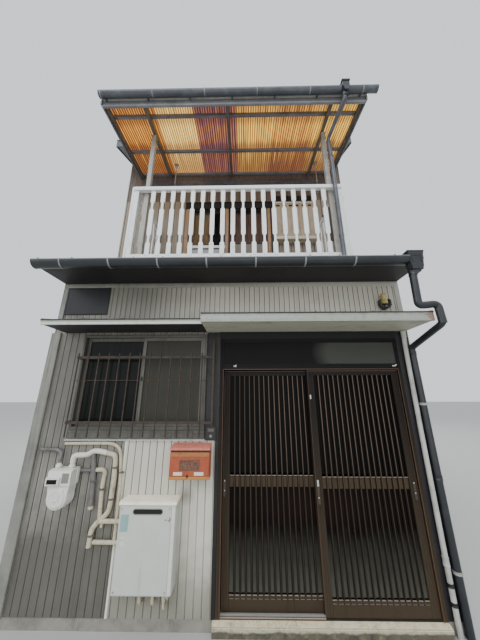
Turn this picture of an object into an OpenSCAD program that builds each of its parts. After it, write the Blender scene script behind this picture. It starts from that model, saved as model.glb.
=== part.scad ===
/* [House] */
// Width of the frontage, two ken
frontage = 3640; // [3560:10:3800]
// Depth from the front wall line to the back wall line, three ken
depth = 5460; // [4800:10:6400]
// How far the upper storey stands back, half a ken
setback = 910; // [860:10:960]
// Thickness of every wall
wall_t = 130; // [120:5:140]
// Height of the door sill and of the ground floor
sill_h = 80; // [60:5:120]
// Height of the upper floor above the door sill
floor_h = 3200; // [3100:5:3400]
// Thickness of the upper floor
floor_t = 120; // [100:5:130]
// Depth of the beam under the front edge of the upper floor
floor_beam_h = 120; // [80:5:140]
// Drop from the upper floor to the eave soffit
eave_drop = 370; // [350:5:400]
// Height of the upper wall's outer face above the upper floor
upper_h = 2460; // [2420:10:2600]
// Height of the lower back window above the door sill
back_low = 950; // [800:10:1200]
// Height of the upper back window above the upper floor
back_high = 850; // [700:10:1100]

/* [Main roof] */
// Rise of the main roof for each unit of run
roof_slope = 0.45; // [0.4:0.01:0.5]
// Thickness of the rafters and boards, square to the slope
roof_t = 90; // [70:5:120]
// Reach of the eaves past the walls
eave_out = 450; // [380:10:480]
// Reach of the roof past the side walls
verge_out = 50; // [30:5:80]
// Courses of tiles on each slope
tile_rows = 13; // [11:1:15]
// Tiles in each course
tile_cols = 14; // [12:1:16]
// Height of the tiles' troughs over the boards
tile_lift = 14; // [8:1:20]
// Step at the front edge of each course
tile_step = 14; // [10:1:18]
// Height of the rolls between the tiles over their troughs
tile_roll = 38; // [30:1:42]
// Share of a tile's width that its roll takes
roll_part = 0.28; // [0.22:0.01:0.32]
// Width of the ridge at its foot
ridge_w = 240; // [200:10:300]
// Height of one course of the ridge
ridge_course = 38; // [30:1:50]
// Diameter of the ridge cap
ridge_cap = 120; // [100:5:150]
// Width of the rafter tails under the eaves
tail_w = 45; // [35:5:60]
// Depth of the rafter tails
tail_h = 60; // [50:5:75]
// Distance between the rafter tails
tail_pitch = 455; // [300:5:500]
// Distance of the rafter tails' ends from the edge of the eaves
tail_back = 18; // [10:1:40]

/* [Lean-to roof] */
// Rise of the lean-to roof for each unit of run
lean_slope = 0.12; // [0.1:0.01:0.13]
// Thickness of the lean-to roof
lean_t = 36; // [30:1:40]
// Height of the standing seams
seam_h = 18; // [12:1:25]
// Thickness of the standing seams
seam_t = 8; // [5:1:12]
// Reach of the soffit past the front wall
soffit_out = 340; // [320:5:360]
// Thickness of the soffit boards
soffit_t = 12; // [9:1:16]
// Height of the fascia board
fascia_h = 62; // [55:1:75]
// Thickness of the fascia board
fascia_t = 18; // [14:1:24]
// Reach of the metal drip edge past the fascia
drip_out = 20; // [15:1:30]

/* [Entrance] */
// Width of the entrance frame
door_w = 1771; // [1700:1:1780]
// Wall strip between the entrance frame and the corner
door_side = 132; // [131:1:150]
// Height of the frame up to the underside of the transom bar
door_h = 1890; // [1850:1:1910]
// Height of the transom bar
transom_bar = 50; // [40:1:60]
// Height of the door canopy's top, as a share of the way from the transom bar to the belt
canopy_part = 0.636; // [0.62:0.001:0.65]
// Face width of the frame's jambs and head
jamb_w = 34; // [28:1:40]
// Depth of the entrance frame
frame_d = 110; // [105:1:120]
// How far the entrance frame stands out of the wall
frame_out = 12; // [8:1:20]
// Height of the aluminium sill plate
sill_plate = 14; // [10:1:16]
// Height of the running rails on the sill plate
rail_h = 8; // [6:1:10]
// Thickness of the running rails
rail_t = 5; // [4:1:6]
// Distance between the two running rails
track_pitch = 42; // [40:1:46]
// Reach of the painted step past the wall
step_out = 52; // [40:1:80]
// Drop from the door sill to the painted step
step_drop = 12; // [5:1:20]
// How far the painted step runs past the entrance frame
step_side = 20; // [0:1:30]

/* [Door leaves] */
// Thickness of a door leaf
leaf_t = 30; // [26:1:32]
// Width of a leaf's stiles
stile_w = 62; // [55:1:68]
// Height of a leaf's top rail
leaf_top = 50; // [45:1:60]
// Height of a leaf's middle rail
leaf_mid = 85; // [75:1:95]
// Height of a leaf's bottom rail
leaf_bottom = 95; // [85:1:110]
// Height of the middle rail's underside above the door sill
leaf_mid_z = 890; // [840:5:920]
// Number of slats on a leaf
slats = 15; // [12:1:16]
// Width of a slat
slat_w = 22; // [18:1:26]
// Depth of a slat
slat_d = 12; // [10:1:14]
// Height of the cross bar above the bottom rail
kick_gap = 30; // [25:1:40]
// Height of the cross bar
kick_h = 12; // [8:1:16]
// Clearance round a moving leaf
leaf_gap = 5; // [5:1:6]
// Thickness of the glass panes
glass_t = 4; // [3:1:6]
// Distance from a pane to the back of its leaf
glass_back = 6; // [5:1:8]
// Radius of the rollers under the leaves
roller_r = 14; // [12:1:16]
// Width of a roller
roller_w = 12; // [10:1:14]
// Distance from a stile to the middle of the next roller
roller_in = 40; // [30:1:60]
// Width of the pulls and the lock plate
pull_w = 24; // [18:1:30]
// Height of the pulls and the lock plate
pull_h = 130; // [110:5:160]
// How far the pulls and the lock plate stand out of a leaf
pull_t = 3; // [2:0.5:4]
// Height of the middle of the pulls above the door sill
pull_z = 950; // [900:5:1000]

/* [Front window] */
// Wall between the left corner and the window
win_side = 330; // [300:5:360]
// Wall between the window and the entrance frame
win_gap = 137; // [125:1:160]
// Height of the window frame
win_h = 900; // [860:5:920]
// Gap between the window and the canopy over it
win_drop = 23; // [15:1:40]
// Face width of the window frame
win_frame = 28; // [24:1:34]
// Depth of the window frame
win_d = 90; // [80:1:100]
// How far the window frame stands out of the wall
win_out = 25; // [18:1:30]
// Face width of the sashes
sash_w = 34; // [28:1:40]
// Thickness of a sash
sash_t = 26; // [20:1:30]
// Distance from the inner sash to the back of the frame
sash_back = 15; // [10:1:18]
// Gap between the two sashes
sash_gap = 2; // [1.5:0.5:4]
// Height of the apron under the window
apron_h = 78; // [60:1:80]
// Thickness of the apron
apron_t = 12; // [8:1:16]
// Thickness of the flashing under the apron
flash_t = 12; // [6:1:14]
// Reach of the flashing past the wall
flash_out = 28; // [24:1:28]
// How far the flashing runs past the window
flash_side = 10; // [5:1:15]

/* [Window grille] */
// Distance of the grille from the wall
grille_out = 100; // [90:1:120]
// Diameter of the grille bars
bar_d = 10; // [8:1:12]
// Distance between the grille bars
bar_pitch = 100.5; // [96:0.5:102]
// Height of the grille bars
bar_h = 750; // [700:5:780]
// Distance from the window's left edge to the first bar
grille_side = 32; // [25:1:40]
// How far the bars hang below the window
bar_drop = 50; // [30:1:60]
// Height of the lower rail above the window's underside
low_rail = 60; // [40:1:80]
// Height of the upper rail above the window's underside
top_rail = 650; // [600:5:680]
// Height of the thin rod above the window's underside
mid_rod = 440; // [400:5:480]
// Diameter of the thin rod
rod_d = 6; // [5:0.5:7]
// Height of the flat rails
flat_h = 16; // [12:1:20]
// Thickness of the flat rails
flat_t = 4; // [3:1:5]
// How far the rails run past the first bar
rail_over = 15; // [10:1:20]
// Width of the end post
end_post = 20; // [16:1:24]
// Reach of the end post below the lower rail
post_down = 20; // [10:1:40]
// Height of the end post above the upper rail
post_up = 180; // [120:5:200]

/* [Canopies] */
// Gap between the entrance frame and the canopies' soffit
canopy_gap = 69; // [60:1:75]
// Reach of the door canopy from the wall
door_canopy_out = 410; // [380:5:440]
// Height of the door canopy's fascia
canopy_fascia = 86; // [76:1:96]
// Height of the pale band on the door canopy's fascia
canopy_band = 50; // [40:1:56]
// Height of the sloping tops, from the fascia to the wall
canopy_top_h = 90; // [60:5:95]
// How far the door canopy runs past the entrance frame
canopy_side = 146; // [120:1:160]
// Gap between the door canopy and the corner
canopy_corner = 10; // [5:1:40]
// Reach of the window canopy from the wall
win_canopy_out = 350; // [320:5:375]
// Height of the window canopy's fascia
win_canopy_fascia = 52; // [45:1:60]
// Height of the pale band on the window canopy's fascia
win_canopy_band = 20; // [14:1:26]
// How far the window canopy runs past its window
win_canopy_side = 215; // [180:5:240]
// Height of the dark lip along the top of a fascia
lip_h = 10; // [8:1:12]
// How far the lip stands out of the fascia
lip_out = 8; // [5:1:12]
// How far the pale band stands out of the strip above it
band_t = 4; // [2:1:6]
// Height of the soffit boards above the fascia's lower edge
soffit_lift = 10; // [6:1:14]
// Width of the fascia's lower edge
drip_w = 16; // [12:1:24]
// Height of the flashing where a canopy meets the wall
upstand_h = 12; // [8:1:14]
// Thickness of that flashing
upstand_t = 3; // [2:1:5]

/* [Gutters] */
// Outer radius of the gutters
gutter_r = 62; // [55:1:66]
// Thickness of the gutters
gutter_t = 4; // [3:1:5]
// Diameter of the bead along a gutter's front edge
bead_d = 10; // [8:1:12]
// Gap between the eave gutter and the fascia
gutter_gap = 8; // [6:1:12]
// Height of the eave gutter's rim above the soffit
gutter_lift = 30; // [20:1:40]
// Distance between the gutter straps
strap_pitch = 455; // [400:5:500]
// Width of a gutter strap
strap_w = 22; // [16:1:28]
// Thickness of a gutter strap
strap_t = 3; // [2:1:4]
// Distance from the left end of the eave gutter to its first strap
strap_first = 260; // [200:5:300]
// Distance between the balcony gutter's straps
high_strap_pitch = 640; // [500:10:700]
// Gap between the balcony gutter and the rafters' ends
high_gutter_gap = 12; // [10:1:16]

/* [Downpipes] */
// Outer diameter of the downpipes
pipe_d = 60; // [50:1:62]
// Radius of the downpipes' elbows
elbow_r = 34; // [30:1:40]
// Gap between a downpipe and the wall
pipe_gap = 2; // [1:0.5:4]
// Distance from the corner to the middle of the hopper
hopper_side = 105; // [100:1:120]
// Width of the hopper at its rim
hopper_w = 165; // [140:1:180]
// Depth of the hopper
hopper_d = 96; // [86:1:96]
// Height of the hopper's rim above the gutter's rim
hopper_up = 60; // [40:1:70]
// Drop from the gutter's rim to the foot of the hopper
hopper_down = 120; // [100:1:130]
// Width of the hopper at its foot
hopper_foot = 78; // [72:1:90]
// How far the downpipe swings past the corner
swing_out = 45; // [40:1:55]
// Height of the downpipe's upper elbow above the door canopy's fascia
swing_up = 70; // [60:1:90]
// Drop of the downpipe's slanting length
swing_drop = 55; // [45:1:70]
// Drop from the canopy's soffit to the elbow outside it
swing_low = 20; // [10:1:40]
// Drop from the canopy's soffit to the elbow at the wall
wall_elbow = 170; // [150:5:200]
// Distance from the corner to the downpipe's middle on the wall
wall_side = 5; // [5:1:20]
// Distance from the corner to the white pipe's head
white_top = 68; // [66:1:80]
// Distance from the corner to the white pipe's foot
white_foot = 100; // [90:1:110]

/* [Balcony] */
// Middle of the balcony, from the middle of the frontage
balcony_x = 80; // [40:5:100]
// Width of the balcony
balcony_w = 2630; // [2500:10:2700]
// Front face of the balcony railing, from the front wall line
rail_y = -24; // [-40:1:0]
// Drop from the upper floor to the balcony deck
deck_drop = 75; // [50:1:80]
// Thickness of the deck boards
deck_t = 25; // [20:1:28]
// Width of the joists under the deck
joist_w = 60; // [45:5:75]
// Distance from the railing's front face to the joists' ends
joist_back = 20; // [10:1:40]
// Height of the railing above the deck
railing_h = 1087; // [1000:1:1120]
// Thickness of the railing boards
board_t = 18; // [15:1:22]
// Height of the railing's top rail
rail_top = 62; // [50:1:70]
// Depth of the railing's top rail
rail_d = 60; // [50:1:70]
// Height of the railing's bottom rail
rail_bottom = 45; // [35:1:55]
// Gap between the deck and the bottom rail
rail_lift = 60; // [40:1:80]
// Number of boards between the posts
balusters = 18; // [14:1:20]
// Width of a railing board
baluster_w = 60; // [50:1:66]
// Depth of the notches in a board's edges
notch_d = 16.5; // [12:0.5:20]
// Height of the notches
notch_h = 46; // [40:1:60]
// Number of boards along each side
side_balusters = 6; // [5:1:7]
// Gap between a roof post and the next board's share of the railing
post_clear = 10; // [5:1:20]
// Size of the roof posts
post_w = 70; // [60:1:80]
// Distance from the balcony's left side to the left post
post_in_l = 106; // [90:1:120]
// Distance from the balcony's right side to the right post
post_in_r = 86; // [70:1:100]

/* [Balcony roof] */
// Wall left free beside the balcony roof, on the left
croof_side_l = 217; // [180:1:240]
// Wall left free beside the balcony roof, on the right
croof_side_r = 145; // [120:1:180]
// Rise of the balcony roof for each unit of run
croof_slope = 0.085; // [0.07:0.005:0.1]
// Height of the rafters' underside at the wall, above the upper floor
croof_h = 2056; // [2020:1:2080]
// Front face of the rafters, from the front wall line
croof_y = -380; // [-400:1:-340]
// Width of the rafters and purlins
rafter_w = 38; // [32:1:45]
// Height of the rafters
rafter_h = 50; // [45:1:60]
// Height of the purlins
purlin_h = 35; // [30:1:40]
// Distance from the front purlin to the second one
purlin_2 = 190; // [150:5:240]
// Distance from the front purlin to the third one
purlin_3 = 730; // [600:5:800]
// How far the middle rafter lies left of the balcony's middle
mid_rafter = 140; // [100:5:180]
// Reach of the sheets past the front purlin
sheet_out = 40; // [30:1:60]
// Gap between the sheets and the wall
sheet_back = 12; // [8:1:20]
// Number of corrugated sheets
sheets = 6; // [5:1:7]
// Distance between waves
wave_pitch = 32; // [30:1:32]
// Height of a wave
wave_h = 9; // [8:1:12]
// Thickness of a sheet, measured upright
sheet_t = 1.5; // [1.2:0.1:2]
// Reach of the balcony gutter past the roof on the left
high_gutter_l = 10; // [5:1:20]
// Reach of the balcony gutter past the roof on the right
high_gutter_r = 40; // [20:1:60]
// Distance from the right post to the head of the balcony downpipe
high_pipe_side = 40; // [35:1:60]
// Height of the outlet under the balcony gutter
outlet_h = 70; // [60:1:90]
// Diameter of the outlet
outlet_d = 84; // [76:1:90]
// How far the balcony downpipe steps to the left
high_pipe_step = 30; // [10:1:40]
// Drop from the outlet's foot to the downpipe's upper elbow
high_pipe_drop = 50; // [45:1:80]
// Drop between the downpipe's two elbows
high_pipe_fall = 300; // [250:5:350]
// Gap between the balcony downpipe and the railing
high_pipe_gap = 6; // [4:1:10]
// Height of the balcony downpipe's foot above the lean-to roof
high_pipe_foot = 30; // [28:1:40]

/* [Upper wall] */
// Distance from the balcony's left side to its window
up_win_side = 455; // [420:5:500]
// Height of the balcony window's head above the upper floor
up_head = 1440; // [1400:5:1480]
// Height of the balcony window's sill above the upper floor
up_sill = 60; // [40:5:100]
// Face width of the balcony window's timbers
up_bar = 60; // [45:5:75]
// Depth of the balcony window's timbers
up_d = 90; // [80:5:100]
// How far those timbers stand out of the wall
up_out = 15; // [10:1:20]
// Height of the lower panes
up_low_h = 520; // [480:5:560]
// Height of the rail over the lower panes
up_rail_h = 40; // [30:1:50]
// Distance from the balcony's right side to the shutter box
shutter_side = 115; // [100:5:140]
// Gap between the shutter box and the balcony window
shutter_gap = 20; // [10:1:30]
// Depth of the shutter box
shutter_d = 100; // [80:5:130]
// Width of the shutter box
shutter_w = 620; // [560:10:660]
// Height of the shutter box
shutter_h = 690; // [640:10:720]
// Height of the ledge over the shutter box
ledge_h = 24; // [16:1:30]
// How far the ledge stands out of the shutter box
ledge_out = 14; // [8:1:20]

/* [Mailbox] */
// Gap between the mailbox and the entrance frame
mail_side = 65; // [55:1:80]
// Drop from the window to the lid's hinge
mail_drop = 114; // [112:1:130]
// Width of the mailbox
mail_w = 339; // [300:1:360]
// Height of the mailbox's front
mail_h = 205; // [180:1:220]
// Depth of the mailbox
mail_d = 125; // [110:1:140]
// Thickness of the mailbox sheet
mail_t = 3; // [2:0.5:4]
// Height of the letter gap under the lid
mail_gap = 26; // [20:1:32]
// Height of the rim round the foot of the mailbox
mail_rim = 16; // [10:1:20]
// How far the lid falls from its hinge to its front edge
lid_fall = 28; // [20:1:36]
// Thickness of the lid
lid_t = 3; // [2:0.5:4]
// Width of the lid's strip between the mailbox's cheeks
lid_strip = 24; // [22:1:30]
// Reach of the lid past the mailbox's front
lid_out = 12; // [8:1:16]
// Reach of the lid past the mailbox's sides
lid_over = 6; // [4:1:10]
// Height of the lid's front lip
lid_lip = 18; // [12:1:20]
// Gap between the lid's strip and a cheek
cheek_gap = 5; // [5:1:8]
// Diameter of the lid's hinge pin
pin_d = 6; // [5:0.5:8]
// Radial clearance of the lid's hinge
pin_gap = 0.3; // [0.2:0.1:0.5]
// Thickness of the hinge barrel's wall
barrel_t = 2; // [1.5:0.5:3]

/* [Water heater] */
// Gap between the water heater and the entrance frame
heater_side = 321; // [300:1:340]
// Drop from the mailbox to the top of the water heater
heater_drop = 147; // [130:1:180]
// Width of the water heater
heater_w = 456; // [430:1:480]
// Height of the water heater
heater_h = 605; // [560:5:640]
// Depth of the water heater
heater_d = 150; // [140:5:240]
// Height of the water heater's lid
heater_lid = 26; // [20:1:32]
// Reach of the lid past the case
heater_lip = 6; // [4:1:10]
// Gap between the case and the wall
heater_back = 6; // [4:1:10]
// Distance from the case's left side to the vent
vent_side = 110; // [90:5:130]
// Width of the vent
vent_w = 245; // [220:5:260]
// Height of the vent
vent_h = 44; // [36:1:50]
// Depth of the vent
vent_d = 30; // [20:1:40]
// Drop from the lid to the vent
vent_drop = 22; // [16:1:30]
// Distance from the case's sides to the mounting straps
strap_in = 60; // [40:5:80]
// Width of the mounting straps
mount_w = 40; // [30:1:50]
// Reach of the mounting straps above the heater
mount_up = 20; // [12:1:30]
// Reach of the mounting straps below the heater
mount_down = 30; // [12:1:40]

/* [Gas meter] */
// Share of the wall beside the heater that lies left of the gas meter
meter_share = 0.417; // [0.35:0.001:0.45]
// Drop from the window to the top of the gas meter
meter_drop = 295; // [280:1:310]
// Width of the gas meter
meter_w = 205; // [180:1:230]
// Height of the gas meter
meter_h = 300; // [270:5:330]
// Height of the gas meter's upper housing
meter_head = 130; // [110:5:150]
// Front face of the gas meter, from the wall
meter_out = 150; // [140:1:170]
// Gap between the gas meter and the wall
meter_back = 30; // [20:1:40]
// Diameter of the drum in the gas meter's lower part
drum_d = 175; // [160:1:180]
// Diameter of the gas meter's pipe unions
union_d = 34; // [28:1:40]
// Height of the pipe unions
union_h = 40; // [30:1:50]
// Distance from the meter's sides to the middle of the unions
union_in = 45; // [35:1:60]
// Width of the brackets behind the meter
meter_foot = 20; // [16:1:30]
// Height of the brackets behind the meter
meter_foot_h = 50; // [40:1:60]

/* [Wall pipes] */
// Diameter of the lagged pipes
lag_d = 30; // [26:1:32]
// Diameter of the bare pipes
bare_d = 24; // [20:1:26]
// Distance from the pipes' middle to the wall
pipe_off = 26; // [22:1:30]
// Height of the uppermost pipe above the water heater
pipe_top = 410; // [380:5:412]
// Radius of the pipes' bends
bend_r = 30; // [24:1:34]
// Width of the pipe clips
clip_w = 16; // [12:1:20]
// Height of the pipe clips
clip_h = 12; // [8:1:16]

/* [Trims and fittings] */
// Thickness of the trims
trim_t = 14; // [10:1:18]
// Height of the belt trim under the eave
belt_h = 50; // [40:1:60]
// Width of the left corner trim below the canopy
corner_w = 80; // [70:1:100]
// Thickness of that corner trim
corner_t = 30; // [20:1:34]
// Width of the corner trims above the canopy
high_corner_w = 50; // [40:1:60]
// Reach of the left corner trim past the side wall
corner_out = 12; // [8:1:16]
// Width of the dark panel
panel_w = 470; // [400:10:520]
// Thickness of the dark panel
panel_t = 12; // [8:1:14]
// Share of the wall over the window canopy that the dark panel leaves free
panel_gap = 0.13; // [0.1:0.01:0.2]
// Distance from the corner to the middle of the insulator
knob_side = 200; // [180:5:220]
// Diameter of the insulator
knob_d = 44; // [38:1:50]
// Height of the insulator
knob_h = 84; // [70:1:90]
// Distance of the insulator's middle from the wall
knob_out = 52; // [50:1:60]
// Diameter of the ring under the insulator
ring_d = 72; // [60:1:80]
// Thickness of that ring
ring_t = 9; // [7:1:11]
// Gap between the intercom and the entrance frame
bell_side = 26; // [20:1:40]
// Width of the intercom
bell_w = 94; // [80:1:96]
// Height of the intercom
bell_h = 119; // [100:1:130]
// Depth of the intercom
bell_d = 28; // [20:1:28]
// Drop from the window's underside to the foot of the intercom
bell_drop = 89; // [80:1:89]

/* [Hidden] */
$fn = 48;
seat = 0.3;
cut = 10;

// Walls and floors
half = frontage / 2;
face = -wall_t / 2;
inside = wall_t / 2;
x_in = half - wall_t;
back_in = depth - wall_t / 2;
back_out = depth + wall_t / 2;
up_face = setback - wall_t / 2;
up_inside = setback + wall_t / 2;
floor_z = sill_h + floor_h;
soffit_z = floor_z - eave_drop;
plate_z = floor_z + upper_h;
ridge_y = (setback + depth) / 2;
roof_rise = roof_t * sqrt(1 + roof_slope * roof_slope);
lean_rise = lean_t * sqrt(1 + lean_slope * lean_slope);
soffit_y = face - soffit_out;
fascia_y = soffit_y - fascia_t;
lean_front = fascia_y - drip_out;
back_win_z = [sill_h + back_low, floor_z + back_high];

// Entrance
door_r = half - door_side;
door_l = door_r - door_w;
frame_y = face - frame_out;
bar_z = sill_h + door_h;
belt_z = soffit_z - belt_h;
canopy_top = bar_z + canopy_part * (belt_z - bar_z);
canopy_soffit = canopy_top - upstand_h - canopy_top_h - canopy_fascia;
frame_top = canopy_soffit - canopy_gap;
leaf_l = door_l + jamb_w + leaf_gap;
leaf_r = door_r - jamb_w - leaf_gap;
leaf_w = (leaf_r - leaf_l + stile_w) / 2;
front_track = frame_y + frame_d / 2 - track_pitch / 2;
back_track = front_track + track_pitch;
leaf_z0 = sill_h + sill_plate + rail_h + leaf_gap;
leaf_z1 = bar_z - leaf_gap;
mid_z0 = sill_h + leaf_mid_z;
mid_z1 = mid_z0 + leaf_mid;
low_z = leaf_z0 + leaf_bottom;
high_z = leaf_z1 - leaf_top;

// Canopies
canopy_l = door_l - canopy_side;
canopy_r = half - canopy_corner;

// Front window
win_l = -half + win_side;
win_r = door_l - win_gap;
win_w = win_r - win_l;
win_z0 = canopy_soffit - win_drop - win_h;
win_y = face - win_out;
win_canopy_l = win_l - win_canopy_side;

// Mailbox, water heater and gas meter
mail_r = door_l - mail_side;
mail_l = mail_r - mail_w;
pin_y = face - pin_d - 1;
pin_z = win_z0 - mail_drop;
mail_top = pin_z - mail_gap - lid_fall;
mail_z0 = mail_top - mail_h;
heater_r = door_l - heater_side;
heater_l = heater_r - heater_w;
heater_z1 = mail_z0 - heater_drop;
heater_z0 = heater_z1 - heater_h;
meter_l = -half + meter_share * (heater_l + half - meter_w);
meter_r = meter_l + meter_w;
meter_z1 = win_z0 - meter_drop;

// Gutters and downpipes
gutter_z = soffit_z + gutter_lift;
gutter_y = fascia_y - gutter_r - gutter_gap;
hopper_x = half - hopper_side;
wall_pipe_y = face - pipe_d / 2 - pipe_gap;

// Balcony
bal_l = balcony_x - balcony_w / 2;
bal_r = balcony_x + balcony_w / 2;
deck_z = floor_z - deck_drop;
rail_z0 = deck_z + rail_lift;
rail_z1 = deck_z + railing_h;
rail_over_d = (rail_d - board_t) / 2;
rail_back = rail_y + board_t + rail_over_d;
post_l = bal_l + post_in_l;
post_r = bal_r - post_in_r - post_w;
joist_bay = (balcony_w - joist_w) / 3;
joist_x = [for (i = [0:3]) bal_l + i * joist_bay];

// Balcony roof
croof_l = -half + croof_side_l;
croof_r = half - croof_side_r;
croof_angle = atan(croof_slope);
sheet_waves = floor((croof_r - croof_l) / sheets / wave_pitch);
sheet_w = sheet_waves * wave_pitch;
post_mid = (post_w - rafter_w) / 2;
rafter_x = [croof_l, post_l + post_mid, balcony_x - mid_rafter, post_r + post_mid, croof_r - rafter_w];
high_gutter_y = croof_y - gutter_r - high_gutter_gap;

// Upper wall
up_win_l = bal_l + up_win_side;
shutter_r = bal_r - shutter_side;
shutter_l = shutter_r - shutter_w;
up_win_r = shutter_l - shutter_gap;
up_w = up_win_r - up_win_l;
up_z0 = floor_z + up_sill;
up_z1 = floor_z + up_head;

function lean_under(y) = soffit_z + fascia_h + lean_slope * (y - fascia_y);
function lean_over(y) = lean_under(y) + lean_rise;
function roof_under(y) = plate_z + roof_slope * (y < ridge_y ? y - up_face : back_out - y);
function roof_top(y) = roof_under(y) + roof_rise;
function croof_under(y) = floor_z + croof_h + croof_slope * (y - up_face);
function croof_front(z) = croof_y - (z - croof_under(croof_y)) * croof_slope;
high_gutter_z = croof_under(croof_y) + rafter_h + purlin_h / 4;

// A block between two corners
module block(a, b) translate(a) cube(b - a);

// What is drawn in the depth-height plane, run across from x0 to x1
module run_across(x0, x1) {
    translate([x0, 0, 0]) rotate([90, 0, 90]) linear_extrude(x1 - x0) children();
}

// A profile in that plane, run across
module across(x0, x1, points) run_across(x0, x1) polygon(points);

// What lies on the slope of the balcony roof, measured up the slope from the rafters' ends
module on_slope() {
    translate([0, croof_y, croof_under(croof_y)]) rotate([croof_angle, 0, 0]) children();
}

// A bent pipe as one sweep of a ring along a list of points
function unit(v) = v / norm(v);
function bend(p, r, steps) = [
    for (i = [0:len(p) - 1])
        if (i == 0 || i == len(p) - 1) p[i]
        else let (a = p[i] + unit(p[i - 1] - p[i]) * r, b = p[i] + unit(p[i + 1] - p[i]) * r)
            for (k = [0:steps]) let (t = k / steps)
                a * (1 - t) * (1 - t) + p[i] * 2 * t * (1 - t) + b * t * t
];
function way(p, i) = unit(p[min(i + 1, len(p) - 1)] - p[max(i - 1, 0)]);
function turned(n, w) = unit(n - w * (n * w));
function normals(p, i) = i == 0
    ? [turned(abs(way(p, 0).z) < 0.9 ? [0, 0, 1] : [0, 1, 0], way(p, 0))]
    : let (list = normals(p, i - 1)) concat(list, [turned(list[i - 1], way(p, i))]);
module sweep(p, d, sides) {
    n = normals(p, len(p) - 1);
    rings = [for (i = [0:len(p) - 1]) for (k = [0:sides - 1])
        let (m = cross(way(p, i), n[i]), a = 360 * k / sides)
            p[i] + (n[i] * cos(a) + m * sin(a)) * d / 2];
    sheath = [for (i = [0:len(p) - 2]) for (k = [0:sides - 1])
        let (q = (k + 1) % sides)
            [i * sides + k, (i + 1) * sides + k, (i + 1) * sides + q, i * sides + q]];
    caps = [[for (k = [0:sides - 1]) k], [for (k = [sides - 1:-1:0]) (len(p) - 1) * sides + k]];
    polyhedron(rings, concat(sheath, caps), 4);
}

module foundation() {
    color("darkgray") difference() {
        block([-half, face, 0], [half, back_out, sill_h]);
        block([-x_in, inside, -cut], [x_in, back_in, sill_h + cut]);
    }
}

module ground_floor() {
    color("dimgray") block([-x_in, inside, 0], [x_in, back_in, sill_h]);
}

module entrance_step() {
    color("wheat") block([door_l - step_side, face - step_out, 0], [door_r, face, sill_h - step_drop]);
}

module upper_floor() {
    color("burlywood") across(-x_in, x_in, [
        [up_face, floor_z - floor_t - floor_beam_h], [up_inside, floor_z - floor_t - floor_beam_h],
        [up_inside, floor_z - floor_t], [back_in, floor_z - floor_t],
        [back_in, floor_z], [up_face, floor_z]
    ]);
}

// Front wall from z0 up to the underside of the lean-to roof
module front_wall(x0, x1, z0) {
    across(x0, x1, [[face, z0], [inside, z0], [inside, lean_under(inside)], [face, lean_under(face)]]);
}

module front_wall_left() {
    color("beige") difference() {
        front_wall(-half, door_l, sill_h);
        block([win_l, face - cut, win_z0], [win_r, inside + cut, win_z0 + win_h]);
    }
}

module front_wall_over_door() {
    color("beige") front_wall(door_l, door_r, frame_top);
}

module front_wall_right() {
    color("dimgray") front_wall(door_r, half, sill_h);
}

module side_wall(x) {
    across(x, x + wall_t, [
        [inside, sill_h], [back_in, sill_h], [back_in, floor_z], [up_face, floor_z],
        [up_face, lean_under(up_face)], [inside, lean_under(inside)]
    ]);
}

module side_wall_left() {
    color("tan") side_wall(-half);
}

module side_wall_right() {
    color("tan") side_wall(x_in);
}

module gable_wall(x) {
    across(x, x + wall_t, [
        [up_inside, floor_z], [back_in, floor_z], [back_in, roof_under(back_in)],
        [ridge_y, roof_under(ridge_y)], [up_inside, roof_under(up_inside)]
    ]);
}

module gable_wall_left() {
    color("tan") gable_wall(-half);
}

module gable_wall_right() {
    color("tan") gable_wall(x_in);
}

module back_window_hole(z) {
    block([-win_w / 2, back_in - cut, z], [win_w / 2, back_out + cut, z + win_h]);
}

module back_wall() {
    color("beige") difference() {
        block([-half, back_in, sill_h], [half, back_out, floor_z]);
        back_window_hole(back_win_z[0]);
    }
}

module upper_back_wall() {
    color("beige") difference() {
        across(-half, half, [
            [back_in, floor_z], [back_out, floor_z],
            [back_out, roof_under(back_out)], [back_in, roof_under(back_in)]
        ]);
        back_window_hole(back_win_z[1]);
    }
}

module upper_front_wall() {
    color("tan") difference() {
        across(-half, half, [
            [up_face, floor_z], [up_inside, floor_z],
            [up_inside, roof_under(up_inside)], [up_face, roof_under(up_face)]
        ]);
        block([up_win_l, up_face - cut, up_z0], [up_win_r, up_inside + cut, up_z1]);
    }
}

// The sheet with a seam at each end, two in each bay between the joists and one beside the balcony
module lean_to_roof() {
    edge = half + verge_out;
    bays = [for (i = [0:2]) for (k = [1, 2]) joist_x[i] + joist_w / 2 + k * joist_bay / 3];
    seams = concat([-edge + seam_t / 2, (bal_l - half) / 2], bays, [(bal_r + half) / 2, edge - seam_t / 2]);
    color("slategray") {
        across(-edge, edge, [
            [lean_front, lean_under(lean_front)], [up_face, lean_under(up_face)],
            [up_face, lean_over(up_face)], [lean_front, lean_over(lean_front)]
        ]);
        for (x = seams) across(x - seam_t / 2, x + seam_t / 2, [
            [lean_front, lean_under(lean_front)], [up_face, lean_under(up_face)],
            [up_face, lean_over(up_face) + seam_h], [lean_front, lean_over(lean_front) + seam_h]
        ]);
    }
}

module eave_soffit() {
    color("#2b2420") {
        block([-half, soffit_y, soffit_z], [half, face, soffit_z + soffit_t]);
        across(-half, half, [
            [fascia_y, soffit_z], [soffit_y, soffit_z],
            [soffit_y, lean_under(soffit_y)], [fascia_y, lean_under(fascia_y)]
        ]);
    }
}

// The lower half of a disc
module half_disc(r) {
    difference() {
        circle(r);
        translate([-r - cut, 0]) square([2 * (r + cut), r + cut]);
    }
}

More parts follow.
